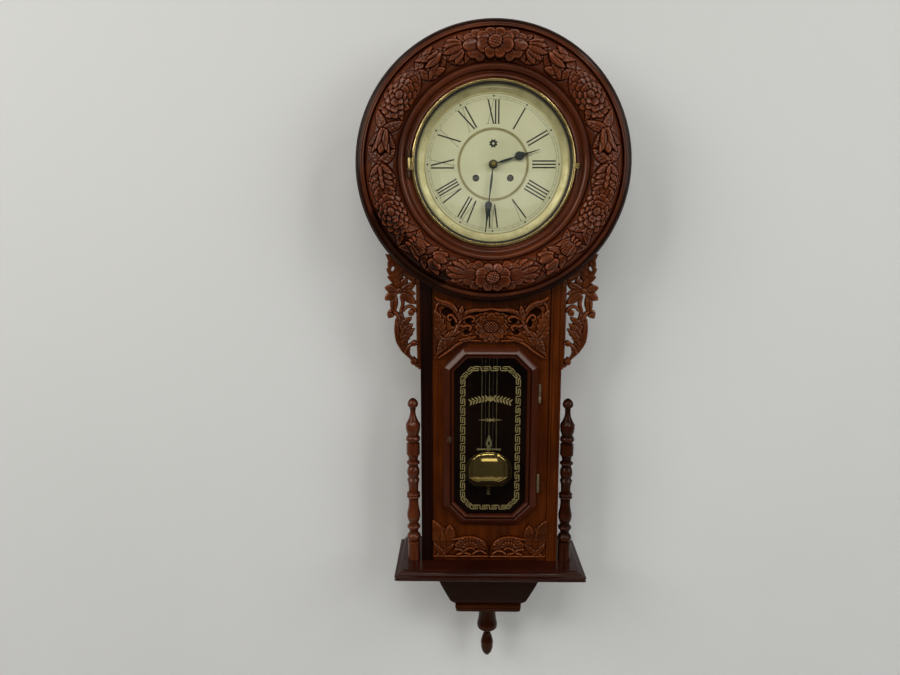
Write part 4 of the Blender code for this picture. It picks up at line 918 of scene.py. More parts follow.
def bracket_relief(pitch):
    """The right bracket: a plank under the ring, a feathered leaf, a flower, and an acanthus scroll."""
    x, z = grid((119.0, -351.0), (193.5, -143.0), pitch)
    relief = Relief(x, z)
    relief.fill([(183.6, -147.6), (178.2, -160.2), (171.0, -169.0), (162.6, -178.0), (152.0, -186.0),
                 (143.7, -191.8), (132.1, -200.4), (123.0, -206.0), (123.0, -186.0), (150.0, -163.5),
                 (168.0, -149.5)], 2.2)
    relief.stroke([(127.1, -190.0), (127.0, -250.0), (126.6, -300.0), (125.6, -347.0)],
                  [7.6, 7.8, 8.0, 6.6], 2.4, flat=0.1)
    relief.stroke([(164.0, -263.0), (162.0, -280.0), (157.5, -298.0), (150.0, -315.0), (140.0, -328.0),
                   (130.0, -343.0)], [9.0, 16.0, 20.0, 15.0, 9.0, 8.0], 2.6, flat=0.2)
    relief.stroke([(158.0, -246.0), (157.5, -262.0), (153.0, -280.0), (150.0, -298.0)],
                  [5.5, 13.0, 15.0, 10.0], 3.0, ribs=1)
    relief.leaf((160.0, -286.0), (138.6, -257.5), 15.0, 4.0, bend=-4.0, teeth=3, veins=4, widest=0.6)
    relief.leaf((160.0, -300.0), (136.6, -269.0), 14.0, 4.3, bend=-4.0, veins=4, widest=0.6)
    relief.leaf((157.0, -310.0), (133.6, -277.5), 16.0, 4.6, bend=-4.0, teeth=4, veins=5, widest=0.55)
    relief.stroke([(150.0, -319.0), (145.5, -311.0), (140.0, -305.5), (134.0, -302.8), (128.5, -303.5)],
                  [7.0, 7.5, 7.0, 6.0, 5.0], 4.4, ribs=1)
    relief.disc((135.2, -303.6), (5.2, 5.4), 4.6)
    relief.disc((135.2, -336.6), (6.6, 6.2), 4.4)
    relief.stroke([(160.0, -262.0), (165.5, -251.5), (172.5, -246.0), (178.6, -249.6), (178.0, -256.6)],
                  [7.0, 7.0, 6.6, 6.4, 6.0], 4.0, ribs=1)
    relief.disc((174.9, -253.8), (5.4, 5.0), 4.2)
    relief.stroke([(158.4, -249.0), (153.6, -246.0), (149.0, -240.6), (143.0, -238.4), (136.5, -240.8),
                   (131.4, -246.6)], [5.0, 5.5, 6.0, 6.2, 6.0, 5.5], 4.0, ribs=1)
    relief.disc((139.6, -249.6), (5.6, 6.0), 4.4)
    relief.stroke([(155.6, -222.0), (154.2, -234.0), (158.0, -247.0)], [8.0, 6.4, 6.0], 3.6, ribs=1)
    relief.leaf((168.4, -214.0), (170.8, -249.0), 14.0, 4.2, stripes=2, blunt=0.5, widest=0.55)
    relief.leaf((159.0, -207.0), (177.4, -156.6), 31.0, 3.2, teeth=4, veins=6, widest=0.42, bend=1.0,
                blunt=0.7)
    petals = (((147.0, -188.6), 14.0, 3.4), ((165.6, -189.0), 13.0, 3.2), ((132.4, -199.8), 14.5, 3.8),
              ((185.6, -226.6), 15.0, 3.8), ((185.4, -205.0), 14.5, 4.0), ((131.8, -217.0), 12.0, 3.4),
              ((131.6, -234.0), 15.0, 4.2))
    for tip, width, height in petals:
        relief.leaf((160.5, -211.0), tip, width, height, widest=0.58, blunt=0.7, tilt=0.8, rib=1.0,
                    groove=1.3)
    relief.disc((160.2, -211.2), (6.0, 5.6), 5.0, dome=0.5)
    relief.cut((137.2, -319.6), (5.4, 8.6), 0.12)
    relief.cut((171.0, -173.0), (2.6, 4.4), 0.5)
    return relief


def upper_relief(pitch):
    """A flower between scrolls, leaves and sunk openings, the same on both sides of the middle."""
    x, z = grid((-99.4, -329.0), (99.4, -218.8), pitch)
    relief = Relief(np.abs(x), z)
    relief.fill([(-1.0, -239.5), (8.0, -240.5), (25.0, -241.6), (42.0, -243.0), (47.0, -236.0),
                 (52.0, -239.0), (62.0, -233.5), (75.0, -227.0), (88.0, -223.5), (96.6, -219.4),
                 (98.2, -224.0), (98.8, -243.0), (98.8, -327.6), (93.0, -328.0), (84.0, -320.5),
                 (75.0, -313.5), (66.0, -306.0), (56.0, -301.0), (42.0, -299.5), (28.0, -300.5),
                 (12.0, -299.0), (0.0, -301.0), (-1.0, -301.0)], 1.2)
    openings = (((76.6, -247.0), (10.0, 7.4), 0.2), ((66.2, -266.0), (4.6, 6.6), 0.0),
                ((37.5, -263.5), (8.0, 4.6), 0.25), ((42.5, -281.5), (6.5, 4.6), -0.2),
                ((27.0, -249.0), (7.0, 2.6), -0.2))
    for centre, radii, turn in openings:
        relief.cut(centre, radii, turn, -3.4)
    relief.leaf((78.0, -290.0), (97.6, -241.0), 24.0, 4.4, teeth=5, veins=6, bend=-3.0, widest=0.5, tilt=1.4,
                groove=1.6)
    relief.leaf((84.0, -300.0), (98.0, -268.0), 14.0, 4.2, teeth=3, veins=5, bend=-2.0)
    relief.leaf((62.0, -290.0), (97.0, -325.0), 17.0, 3.8, teeth=5, veins=6, bend=3.0, widest=0.45)
    relief.leaf((82.0, -289.0), (94.0, -316.0), 13.0, 4.6, veins=5, bend=-2.0)
    relief.leaf((70.0, -284.0), (84.0, -309.0), 11.0, 5.0, veins=4)
    relief.stroke([(18.0, -297.0), (34.0, -296.2), (48.0, -297.6), (60.0, -304.0), (74.0, -315.0),
                   (92.0, -326.6)], [3.4, 5.0, 5.6, 5.8, 5.4, 3.0], 4.8, ribs=1)
    relief.leaf((58.0, -296.0), (24.0, -287.6), 11.0, 5.2, teeth=3, veins=5, bend=2.0)
    relief.leaf((82.0, -291.0), (50.2, -280.2), 13.0, 5.8, veins=6, bend=-2.0, teeth=3)
    relief.stroke([(55.0, -262.0), (58.0, -272.0), (63.0, -281.0), (72.0, -288.0)],
                  [7.0, 7.5, 7.0, 5.0], 5.2, ribs=2)
    relief.stroke([(56.0, -268.0), (48.0, -271.4), (40.0, -270.4), (35.0, -273.6), (38.0, -278.6)],
                  [6.4, 6.4, 6.0, 5.0, 4.0], 5.2, ribs=1)
    relief.stroke([(56.0, -262.0), (48.0, -257.6), (39.0, -254.4), (31.0, -256.4), (29.4, -261.0),
                   (33.0, -263.6)], [6.0, 6.0, 5.4, 5.0, 4.4, 4.0], 5.2, ribs=1)
    relief.stroke([(60.0, -264.0), (64.0, -256.4), (70.0, -251.6), (75.0, -254.8), (73.6, -260.4),
                   (70.0, -260.0)], [5.4, 5.4, 5.0, 4.6, 4.0, 3.6], 5.2, ribs=1)
    relief.stroke([(0.0, -240.6), (14.0, -243.2), (28.0, -243.4), (42.0, -246.8), (50.0, -253.4),
                   (55.6, -266.0)], [4.4, 6.6, 8.0, 8.6, 8.2, 5.4], 6.4, ribs=1, groove=1.6)
    relief.stroke([(56.6, -258.0), (60.0, -246.6), (67.0, -237.4), (77.0, -232.0), (88.0, -228.6),
                   (96.4, -221.4)], [5.6, 8.6, 10.6, 11.0, 9.6, 4.4], 6.6, ribs=1, groove=1.8)
    relief.stroke([(90.0, -231.0), (94.6, -236.0), (95.6, -244.0)], [6.0, 5.4, 3.6], 4.6)
    relief.leaf((56.0, -262.0), (49.6, -234.6), 12.0, 7.0, veins=3, groove=1.6)
    centre = np.array([0.0, -272.6])
    relief.flower(centre, (31.0, 28.6), 8, 3.0, turn=0.39, start=0.25, full=1.25, widest=0.56, blunt=1.10,
                  tilt=1.6, cup=0.3, groove=1.6)
    relief.flower(centre, (29.6, 26.6), 8, 4.8, turn=0.0, start=0.16, full=1.30, widest=0.50, blunt=1.15,
                  cup=0.45, tilt=2.4, groove=1.6, rib=0.7)
    relief.disc((0.0, -272.0), (13.0, 10.2), 8.2, hatch=5.2, crossed=True, dome=0.2, groove=1.8)
    relief.x = x
    return relief


def lower_relief(pitch):
    """The right foot carving: half a chrysanthemum in a beaded dome, beside two tall leaves."""
    x, z = grid((1.0, -698.0), (102.6, -622.5), pitch)
    relief = Relief(x, z)
    relief.fill([(1.6, -697.0), (1.6, -690.0), (4.0, -679.0), (9.0, -667.0), (17.0, -659.5),
                 (27.0, -656.4), (40.0, -655.4), (52.0, -657.6), (61.0, -660.6), (64.0, -648.0),
                 (70.0, -636.6), (72.6, -635.6), (75.5, -641.0), (80.0, -643.6), (86.0, -639.6),
                 (93.0, -632.0), (101.6, -626.6), (102.3, -640.0), (102.3, -697.0)], 1.0)
    openings = (((57.4, -668.0), (4.0, 5.4), 0.0), ((20.0, -671.5), (3.2, 5.4), -0.5),
                ((54.6, -681.0), (4.6, 2.8), 0.0), ((12.5, -687.5), (3.4, 2.2), 0.3))
    for centre, radii, turn in openings:
        relief.cut(centre, radii, turn, -2.8)
    relief.leaf((76.0, -692.0), (101.8, -626.0), 27.0, 4.0, veins=8, widest=0.55, bend=-3.0, blunt=0.7)
    relief.leaf((76.0, -688.0), (71.6, -634.6), 21.0, 4.6, veins=8, widest=0.6, bend=1.0, blunt=0.7)
    relief.leaf((80.0, -690.0), (87.0, -646.0), 12.0, 5.4, veins=6, widest=0.5)
    relief.leaf((98.0, -693.0), (62.0, -668.0), 12.0, 4.8, veins=6, bend=4.0)
    relief.leaf((78.0, -692.5), (101.0, -668.0), 11.0, 5.0, veins=5, bend=-3.0)
    centre = np.array([34.6, -677.0])
    relief.fan(centre, (28.5, 21.6), -8.0, 188.0, 13, 0.30, 7.0, 5.0, blunt=0.5, widest=0.7, cup=0.15,
               rib=0.3)
    relief.stroke([(4.2, -680.0), (10.0, -667.4), (20.0, -660.4), (32.0, -657.6), (44.0, -657.6),
                   (56.0, -660.6), (66.0, -661.6)], [2.6, 3.2, 3.4, 3.4, 3.4, 3.4, 3.0], 5.4)
    for i in range(8):
        angle = math.radians(24.0 + 132.0 * i / 7.0)
        bead = (35.5 + 27.5 * math.cos(angle), -680.0 + 22.6 * math.sin(angle))
        relief.disc(bead, (2.0, 2.0), 6.6, groove=0.5)
    relief.fan(centre, (15.0, 12.0), 10.0, 170.0, 7, 0.15, 6.6, 6.6, blunt=0.5, widest=0.65, cup=0.2,
               rib=0.2)
    relief.stroke([(58.0, -690.6), (48.0, -686.4), (40.0, -679.4), (33.0, -677.4), (27.4, -680.6)],
                  [5.0, 6.0, 5.6, 5.0, 4.0], 6.6, ribs=1)
    relief.stroke([(6.0, -689.0), (14.0, -683.6), (22.0, -684.0), (30.0, -689.4)],
                  [4.0, 5.6, 5.6, 4.0], 6.2, ribs=1)
    relief.stroke([(34.0, -690.6), (44.0, -687.6), (52.0, -682.0), (62.0, -680.4)],
                  [4.0, 5.4, 5.4, 4.0], 5.6)
    relief.stroke([(2.6, -694.4), (50.0, -694.4), (101.0, -694.4)], [3.4, 3.6, 3.4], 4.4, flat=0.15)
    return relief


def flat_carvings():
    """The pierced brackets and the trunk's three reliefs."""
    coarse, fine = 0.75, 0.7
    for name, side in SIDES:
        add_carving(f"bracket_carving_{name}", bracket_relief(coarse), BRACKET_BACK, BRACKET_FRONT, coarse,
                    f"side_bracket_{name}", side, upright=True)
    add_carving("upper_relief", upper_relief(fine), CARVING_BACK, CARVING_FRONT, fine, "upper_carving")
    for name, side in SIDES:
        add_carving(f"lower_relief_{name}", lower_relief(fine), CARVING_BACK, CARVING_FRONT, fine,
                    f"lower_carving_{name}", side)


flat_carvings()


# Turned and moulded wood


# (radius, z) or (radius, z, swell) from the top down
COLUMN_MARKS = [
    (0.6, -401.8), (1.6, -401.9, 1.6), (9.3, -411.0, 1.9), (4.6, -419.6), (5.6, -421.4),
    (4.8, -424.0, -2.2), (12.9, -449.0, 1.3), (9.2, -470.4), (10.2, -471.0, 2.6), (10.2, -481.6),
    (9.2, -482.4), (9.2, -484.0), (12.0, -485.4), (12.0, -505.0, -1.4), (8.4, -517.2), (9.8, -518.6, 2.2),
    (9.8, -523.4), (8.4, -525.4), (8.4, -528.0, 2.6), (9.0, -547.6), (8.8, -549.0), (11.2, -553.4, -1.2),
    (9.0, -576.4), (10.6, -577.8, 1.6), (10.6, -581.8), (10.0, -582.2), (10.6, -582.6, 1.6), (10.6, -587.0),
    (9.0, -588.8, -1.2), (11.8, -615.6, 1.5), (8.8, -633.2), (8.4, -636.2), (9.8, -639.6, 2.2),
    (9.8, -646.0), (8.4, -649.6, -0.5), (8.4, -654.2), (9.6, -656.0, 3.0), (9.6, -668.6), (8.8, -670.4),
    (11.0, -672.4), (11.0, -704.7),
]

FINIAL_MARKS = [
    (11.0, -818.4), (12.0, -818.8, 1.0), (14.4, -823.0, 0.4), (15.2, -830.0), (16.6, -846.0, -0.3),
    (18.8, -859.0, 0.5), (19.0, -864.6, 1.2), (16.4, -870.8, 0.4), (6.2, -873.6), (3.6, -875.4, 0.4),
    (3.8, -877.0), (5.8, -881.6, 0.6), (10.4, -894.0, 1.0), (11.4, -906.0, 0.7), (10.0, -917.0, 0.9),
    (5.6, -925.0, 0.9), (0.6, -928.9),
]


def turned_cavity(profile, sides):
    """Dirt and painted shade in the necks of a turned profile: how far each radius lies below those around
    it.
    """
    radii = np.array([radius for radius, _ in profile])
    heights = np.array([z for _, z in profile])
    wide = np.array([radii[np.abs(heights - z) < 7.0].max() for z in heights])
    neck = np.clip((wide - radii) / 6.0, 0.0, 1.0)
    return np.repeat(0.42 + 0.45 * neck ** 1.5, sides)


def turned_piece(name, marks, steps, x, depth, tone, shift, slot, replaced):
    sides = 40
    profile = arcs(marks, steps)
    points, faces = turned_upright(profile, sides, x, depth)
    layers = plain_layers(points, True, tone, shift, turned_cavity(profile, sides))
    add_piece(name, (points, faces), turned_wood, "case", slot, [replaced], 32.0, **layers)


def turned_pieces():
    """The two columns, the right one darkened as painted shade, and the finial."""
    # The right column's tone 0.74 is painted shade.
    for (name, side), tone in zip(SIDES, (0.0, 0.74)):
        turned_piece(f"turned_column_{name}", COLUMN_MARKS, 8, side * COLUMN_AWAY, COLUMN_DEPTH, tone,
                     80.0 * side, "mahogany", f"column_{name}")
    turned_piece("turned_finial", FINIAL_MARKS, 9, 0.0, FINIAL_DEPTH, 0.72, 15.0, "dark_mahogany",
                 "drop_finial")


def moulded_board(name, marks, half, front, material, tone, shift, slot, replaced):
    """A board moulded on its front and two ends, from (inset, z) or (inset, z, swell) marks."""
    back, clipped = 0.3, 2.0
    rings = []
    for inset, z in arcs(marks, 6):
        side, depth = half - inset, front - inset
        rings.append([(-side, back, z), (-side, depth - clipped, z), (-side + clipped, depth, z),
                      (side - clipped, depth, z), (side, depth - clipped, z), (side, back, z)])
    points, faces = loft(rings)
    layers = plain_layers(points, False, tone, shift)
    add_piece(name, (points, faces), material, "case", slot, [replaced], 32.0, **layers)


# (z, half width, front) of the console, from its foot up
CONSOLE_MARKS = [(-800.0, 65.0, 82.0), (-794.0, 71.5, 86.5), (-784.0, 76.5, 88.5), (-760.0, 88.0, 93.5),
                 (-726.5, 101.5, 99.0), (-720.0, 103.0, 100.0)]


def console_block():
    """The tapering block under the shelf, with its two front edges rounded."""
    heights, halves, fronts = np.transpose(CONSOLE_MARKS)
    top, bottom, back, rounding, steps = -720.4, -799.8, 12.4, 5.0, 22
    rings = []
    for i in range(steps + 1):
        z = top + (bottom - top) * i / steps
        half = np.interp(z, heights, halves)
        front = np.interp(z, heights, fronts)
        ring = [(-half, back, z)]
        for k in range(6):
            turn = math.pi / 2.0 * k / 5.0
            inset, setback = rounding * (1.0 - math.cos(turn)), rounding * (1.0 - math.sin(turn))
            ring.append((-half + inset, front - setback, z))
        ring += [(-x, depth, z) for x, depth, z in reversed(ring)]
        rings.append(ring)
    points, faces = loft(rings)
    # The tone 0.66 darkens the console as painted shade under the shelf.
    add_piece("console_block", (points, faces), console_wood, "case", "dark_mahogany", ["console"], 40.0,
              **plain_layers(points, False, 0.66, 22.0))


def moulded_boards():
    shelf = [(16.0, -705.0), (15.7, -706.3), (14.2, -706.6, -1.2), (8.2, -709.8), (7.6, -711.4),
             (2.6, -711.8), (1.0, -712.6, 1.2), (1.2, -718.4, 0.3), (3.0, -720.0)]
    moulded_board("moulded_shelf", shelf, 170.4, 149.8, shelf_wood, 0.10, 0.0, "mahogany", "shelf")
    console_block()
    lip = [(2.0, -803.4), (0.4, -804.0, 0.3), (0.2, -807.6), (1.6, -808.2), (1.6, -809.2),
           (0.6, -809.8, 0.8), (1.4, -814.6, 0.8), (5.0, -817.6), (6.0, -818.0)]
    moulded_board("moulded_lip", lip, 62.0, 85.0, carved_brown, 0.34, 61.0, "panel_mahogany", "console_lip")


turned_pieces()
moulded_boards()


# Door


def octagon(half, height, corner, middle):
    """The corners of a rectangle with its own corners cut off, in order from the upper right."""
    quarter = [(half, height - corner), (half - corner, height)]
    right = quarter + [(-x, z) for x, z in reversed(quarter)]
    return [(x, middle + z) for x, z in right + [(-x, -z) for x, z in right]]


def door_outline(inset):
    """The door's outline moved inwards by a distance."""
    corner = DOOR_CORNER - inset * (2.0 - math.sqrt(2.0))
    return octagon(DOOR_HALF - inset, DOOR_HALF_HEIGHT - inset, corner, DOOR_MIDDLE)


def door_frame():
    """Eight mitred lengths of moulding, each with its grain along it."""
    marks = [
        (0.0, 97.4), (0.0, 100.8), (0.5, 101.6), (10.0, 106.4), (11.0, 106.8, 0.3), (12.0, 106.2),
        (12.4, 104.0), (13.0, 103.4), (15.4, 103.0, 0.4), (17.2, 101.6), (18.2, 100.4), (20.0, 97.6),
        (20.0, 96.3), (14.8, 96.3), (14.8, 97.4), (0.0, 97.4),
    ]
    profile = arcs(marks, 6)[:-1]
    # The groove and the step down to the panel are darkened: dirt and painted shade.
    dirt_and_shade = [0.85 if 12.1 < inset < 13.2 or inset > 18.5 else 0.42 for inset, _ in profile]
    shapes, grains = [], []
    for side in range(8):
        after = (side + 1) % 8
        ends = []
        for corner in (side, after):
            places = [(door_outline(inset)[corner], depth) for inset, depth in profile]
            ends.append([(x, depth, z) for (x, z), depth in places])
        shapes.append(loft(ends))
        run = np.subtract(door_outline(0.0)[after], door_outline(0.0)[side])
        run = run / np.hypot(*run)
        x, depth, z = np.transpose(shapes[-1][0])
        along = x * run[0] + z * run[1] + 210.0 * side
        grains.append(np.column_stack([along, z * run[0] - x * run[1], depth]))
    points, faces = joined(shapes)
    add_piece("door_moulding", (points, faces), door_wood, "door", "panel_mahogany", ["door_frame"], 32.0,
              grain=np.vstack(grains) / 1000.0, tone=np.zeros(len(points)), cavity=np.array(dirt_and_shade * 16))


def flat_strokes(strokes, depth, thickness=0.12):
    """Thin raised bars from ((x, z), (x, z), width) strokes."""
    parts = []
    for start, end, width in strokes:
        a, b = Vector(start), Vector(end)
        run = (b - a).normalized() if (b - a).length > 1e-6 else Vector((1.0, 0.0))
        side = Vector((-run.y, run.x)) * width / 2.0
        outline = [a + side, a - side, b - side, b + side]
        parts.append(loft([[(p.x, d, p.y) for p in outline] for d in (depth, depth + thickness)]))
    return parts


KEY_UNIT = [(0.0, 1.0), (0.0, 0.0), (0.75, 0.0), (0.75, 0.5), (0.25, 0.5), (0.25, 1.0), (1.0, 1.0)]


def key_border():
    """A running key pattern round the glass, just inside an octagon."""
    band, width, pitch = 7.0, 1.5, 17.0
    middle = DOOR_MIDDLE - 3.5
    corners = [Vector(corner) for corner in octagon(52.4, 131.4, 18.2, middle)]
    strokes = []
    for start, end in zip(corners, corners[1:] + corners[:1]):
        run = end - start
        inward = Vector((-run.y, run.x)).normalized()
        if inward.dot(Vector((0.0, middle)) - start) < 0.0:
            inward = -inward
        units = round(run.length / pitch)
        step = run / units
        for unit in range(units):
            path = [start + step * (unit + along) + inward * across * band for along, across in KEY_UNIT]
            for a, b in zip(path, path[1:]):
                reach = (b - a).normalized() * width / 2.0
                strokes.append((a - reach, b + reach, width))
    return flat_strokes(strokes, GILDING_DEPTH)


def blade(start, end, width, depth, thickness=0.12, steps=7):
    """A thin pointed leaf shape."""
    a, b = Vector(start), Vector(end)
    run = b - a
    side = Vector((-run.y, run.x)).normalized() * width / 2.0
    upper = [a + run * (k / steps) + side * math.sin(math.pi * k / steps) for k in range(steps + 1)]
    lower = [a + run * (k / steps) - side * math.sin(math.pi * k / steps) for k in range(steps - 1, 0, -1)]
    return loft([[(p.x, d, p.y) for p in upper + lower] for d in (depth, depth + thickness)])


def leaf_star(centre, radii, leaves, width, depth, root=0.0, phase=0.0, thickness=0.12):
    """Pointed leaves that fan out from a centre."""
    made = []
    for i in range(leaves):
        turn = TURN * (i + phase) / leaves
        x, z = math.sin(turn), math.cos(turn)
        start = (centre[0] + root * x, centre[1] + root * z)
        tip = (centre[0] + radii[0] * x, centre[1] + radii[1] * z)
        made.append(blade(start, tip, width, depth, thickness))
    return made


def glass_ornament():
    """An arched spray of leaves over a small flourish, where a maker's lettering might stand."""
    parts = []
    radius, crest, flourish = 96.0, -401.0, -440.0
    leaves, reach, steps = 6, 8.4, 13

    def on_arch(turn):
        return (radius * math.sin(turn), crest - radius + radius * math.cos(turn))

    for side in (-1, 1):
        for i in range(leaves):
            turn = side * (0.05 + 0.30 * i / (leaves - 1))
            x, z = on_arch(turn)
            for lean in (0.95, -0.85):
                way = turn + side * (math.pi / 2.0 - lean)
                tip = (x + reach * math.sin(way), z + reach * math.cos(way))
                parts.append(blade((x, z), tip, 2.5, GILDING_DEPTH))
        line = [on_arch(side * (0.02 + 0.37 * k / (steps - 1))) for k in range(steps)]
        parts += flat_strokes([(a, b, 0.7) for a, b in zip(line, line[1:])], GILDING_DEPTH)
        for root, tip, rise, width in ((3.6, 22.0, 0.0, 1.1), (2.0, 8.0, 2.8, 1.6), (2.0, 8.0, -2.8, 1.6)):
            parts.append(blade((side * root, flourish), (side * tip, flourish + rise), width, GILDING_DEPTH))
    parts += leaf_star((0.0, crest - 0.5), (6.0, 6.0), 6, 3.6, GILDING_DEPTH)
    parts += leaf_star((0.0, flourish), (4.0, 3.4), 4, 2.6, GILDING_DEPTH)
    return parts


def hinge_barrels():
    """The turned knuckles of both hinges, with their pin heads."""
    half = [(0.5, 17.9), (1.5, 17.5), (1.7, 16.9), (1.2, 16.4), (2.1, 16.2), (2.4, 15.8), (2.4, 5.7),
            (2.3, 5.5), (0.5, 5.5)]
    parts = []
    for z in HINGE_LEVELS:
        for side in (-1.0, 1.0):
            profile = [(radius, z + side * out) for radius, out in half]
            parts.append(turned_upright(profile, 20, *HINGE_AXIS))
    add_piece("hinge_barrels", joined(parts), hinge_brass, "case", "brass", [], 34.0)


def door():
    door_frame()
    hinge_barrels()
    add_piece("glass_gilding", joined(key_border() + glass_ornament()), gold, "door", "brass", [], 30.0)


door()


# Bezel, dial and hands


def bezel():
    """The brass ring with its tab and hinge knuckle, a near-black rebate behind the glass that is painted
    shade in the gap, and the glass.
    """
    rebate = [(127.0, 116.4), (130.6, 116.9), (130.6, 120.2), (129.0, 120.6, 0.4), (126.2, 119.9),
              (126.2, 119.5), (129.0, 119.5), (129.0, 117.3), (127.0, 117.3), (127.0, 116.4)]
    add_piece("bezel_rebate", turned_to_room(arcs(rebate)[:-1], 180), painted_gap_shade, "bezel", "brass", [], 34.0)
    ring = [(130.8, 116.4), (134.1, 116.4), (134.2, 119.0, 1.0), (133.0, 122.2, 0.5), (131.6, 123.6),
            (131.2, 123.2), (130.8, 123.2, 0.3), (129.7, 122.2), (129.7, 121.4), (130.8, 120.4),
            (130.8, 116.4)]
    tab = [(2.2, 119.3), (2.2, 122.0), (1.6, 122.8), (0.4, 123.0)]
    knuckle = [(2.3, -9.7), (2.4, -9.2), (2.4, 9.2), (2.3, 9.7)]
    parts = [turned_to_room(arcs(ring)[:-1], 180),
             box((131.5, 140.4), (119.1, 120.5), (-7.6, 0.8)),
             turned_to_room(tab, 20, (139.6, -3.5), False),
             turned_upright(knuckle, 20, -138.5, 121.5),
             box((-138.0, -132.4), (119.2, 120.6), (-9.6, 9.6))]
    add_piece("bezel_moulding", joined(parts), brass, "bezel", "brass", ["bezel_ring"], 34.0)
    dome = [(0.6, 123.7), (30.0, 123.5), (60.0, 122.9), (90.0, 121.8), (110.0, 120.2), (121.0, 118.7),
            (126.0, 117.7), (128.4, 117.7), (128.4, 119.1), (126.0, 119.1), (121.0, 120.2), (110.0, 121.8),
            (90.0, 123.4), (60.0, 124.5), (30.0, 125.1), (0.6, 125.3)]
    add_piece("bezel_pane", turned_to_room(dome, 120, round_trip=False), glass, "bezel", "glass",
              ["bezel_glass"], 50.0)


def sight_and_centre_rings():
    """The brass cone round the dial with its pins, and the raised ring in the dial's middle."""
    cone = [(112.6, 111.5), (113.4, 111.5), (126.4, 115.2), (126.5, 116.1), (124.8, 116.2, 0.3),
            (123.2, 115.5), (122.8, 115.1), (115.2, 112.7, 0.4), (112.8, 112.6), (112.6, 111.5)]
    add_piece("sight_cone", turned_to_room(arcs(cone, 5)[:-1], 180), sight_brass, "case", "brass",
              ["sight_ring"], 30.0)
    pins = []
    for angle in (-3.4, 0.6, 3.2, 71.0, 151.0, 214.0, 289.0):
        x, z = turned_place(angle, 0.0, 119.2)
        pins.append(sphere((x, 113.9, z), 0.75, 6, 10))
    add_piece("sight_pins", joined(pins), hand_steel, "case", "blued_steel", [], 40.0)
    bead = [(55.1, 111.5), (58.9, 111.5), (58.9, 111.8, 0.8), (55.1, 111.8), (55.1, 111.5)]
    add_piece("centre_bead", turned_to_room(arcs(bead, 8)[:-1], 140), satin_brass, "case", "brass",
              ["dial_centre_ring"], 50.0)


NUMERALS = {
    1: [("I", 0.0)],
    2: [("I", -2.8), ("I", 2.8)],
    3: [("I", -5.3), ("I", 0.0), ("I", 5.3)],
    4: [("I", -8.0), ("I", -2.7), ("I", 2.7), ("I", 8.0)],
    5: [("V", 0.0)],
    6: [("V", -3.4), ("I", 5.2)],
    7: [("V", -5.6), ("I", 2.8), ("I", 7.9)],
    8: [("V", -7.8), ("I", 0.4), ("I", 5.2), ("I", 10.0)],
    9: [("I", -5.6), ("X", 3.0)],
    10: [("X", 0.0)],
    11: [("X", -3.2), ("I", 5.4)],
    12: [("X", -4.6), ("I", 3.2), ("I", 8.4)],
}


def numeral_strokes(number):
    """Upright strokes as ((across, out), (across, out), width), with hairline serifs."""
    low, high = 65.0, 102.6
    thick, hair = 2.3, 0.55
    strokes = []
    for letter, at in NUMERALS[number]:
        if letter == "I":
            strokes.append(((at, low), (at, high), thick))
            feet = [(at, low), (at, high)]
        elif letter == "V":
            strokes.append(((at - 4.6, high), (at + 0.4, low), thick))
            strokes.append(((at + 4.8, high), (at + 0.6, low), hair))
            feet = [(at - 4.6, high), (at + 4.8, high)]
        else:
            strokes.append(((at - 4.4, high), (at + 4.6, low), thick))
            strokes.append(((at + 4.4, high), (at - 4.6, low), hair))
            feet = [(at - 4.4, high), (at + 4.4, high), (at - 4.6, low), (at + 4.6, low)]
        for across, out in feet:
            strokes.append(((across - 2.2, out), (across + 2.2, out), hair))
    return strokes


def turned_place(angle, across, out):
    """A point on the dial from an angle clockwise from twelve, a distance across it and one outwards."""
    turn = math.radians(angle)
    return (out * math.sin(turn) + across * math.cos(turn), out * math.cos(turn) - across * math.sin(turn))


def dial_printing():
    """Roman numerals, the minute ring between two fine circles, and a rosette above the middle."""
    inner, outer, fine = 104.7, 108.5, 0.34
    strokes = []
    for number in NUMERALS:
        angle = 30.0 * number
        for start, end, width in numeral_strokes(number):
            strokes.append((turned_place(angle, *start), turned_place(angle, *end), width))
    for minute in range(60):
        low, high, width = (inner, outer, fine) if minute % 5 else (107.2, 109.9, 2.5)
        angle = 6.0 * minute
        strokes.append((turned_place(angle, 0.0, low), turned_place(angle, 0.0, high), width))
    parts = flat_strokes(strokes, DIAL_FRONT, 0.10)
    for radius in (inner, outer):
        low, high = radius - fine / 2.0, radius + fine / 2.0
        top = DIAL_FRONT + 0.09
        parts.append(turned_to_room([(low, DIAL_FRONT), (high, DIAL_FRONT), (high, top), (low, top)], 180))
    parts += leaf_star((0.0, 33.6), (7.6, 7.6), 8, 3.6, DIAL_FRONT, 1.4, 0.5, 0.10)
    add_piece("dial_printing", joined(parts), ink, "case", "dial_paint", [], 30.0)


def winding_grommets():
    profile = [(4.4, 110.4), (5.6, 111.15), (5.6, 111.5), (4.9, 111.75), (4.4, 111.5)]
    grommets = [turned_to_room(profile, 36, (x, -22.0)) for x in (-28.5, 28.5)]
    add_piece("winding_grommets", joined(grommets), hand_steel, "case", "blued_steel", [], 40.0)


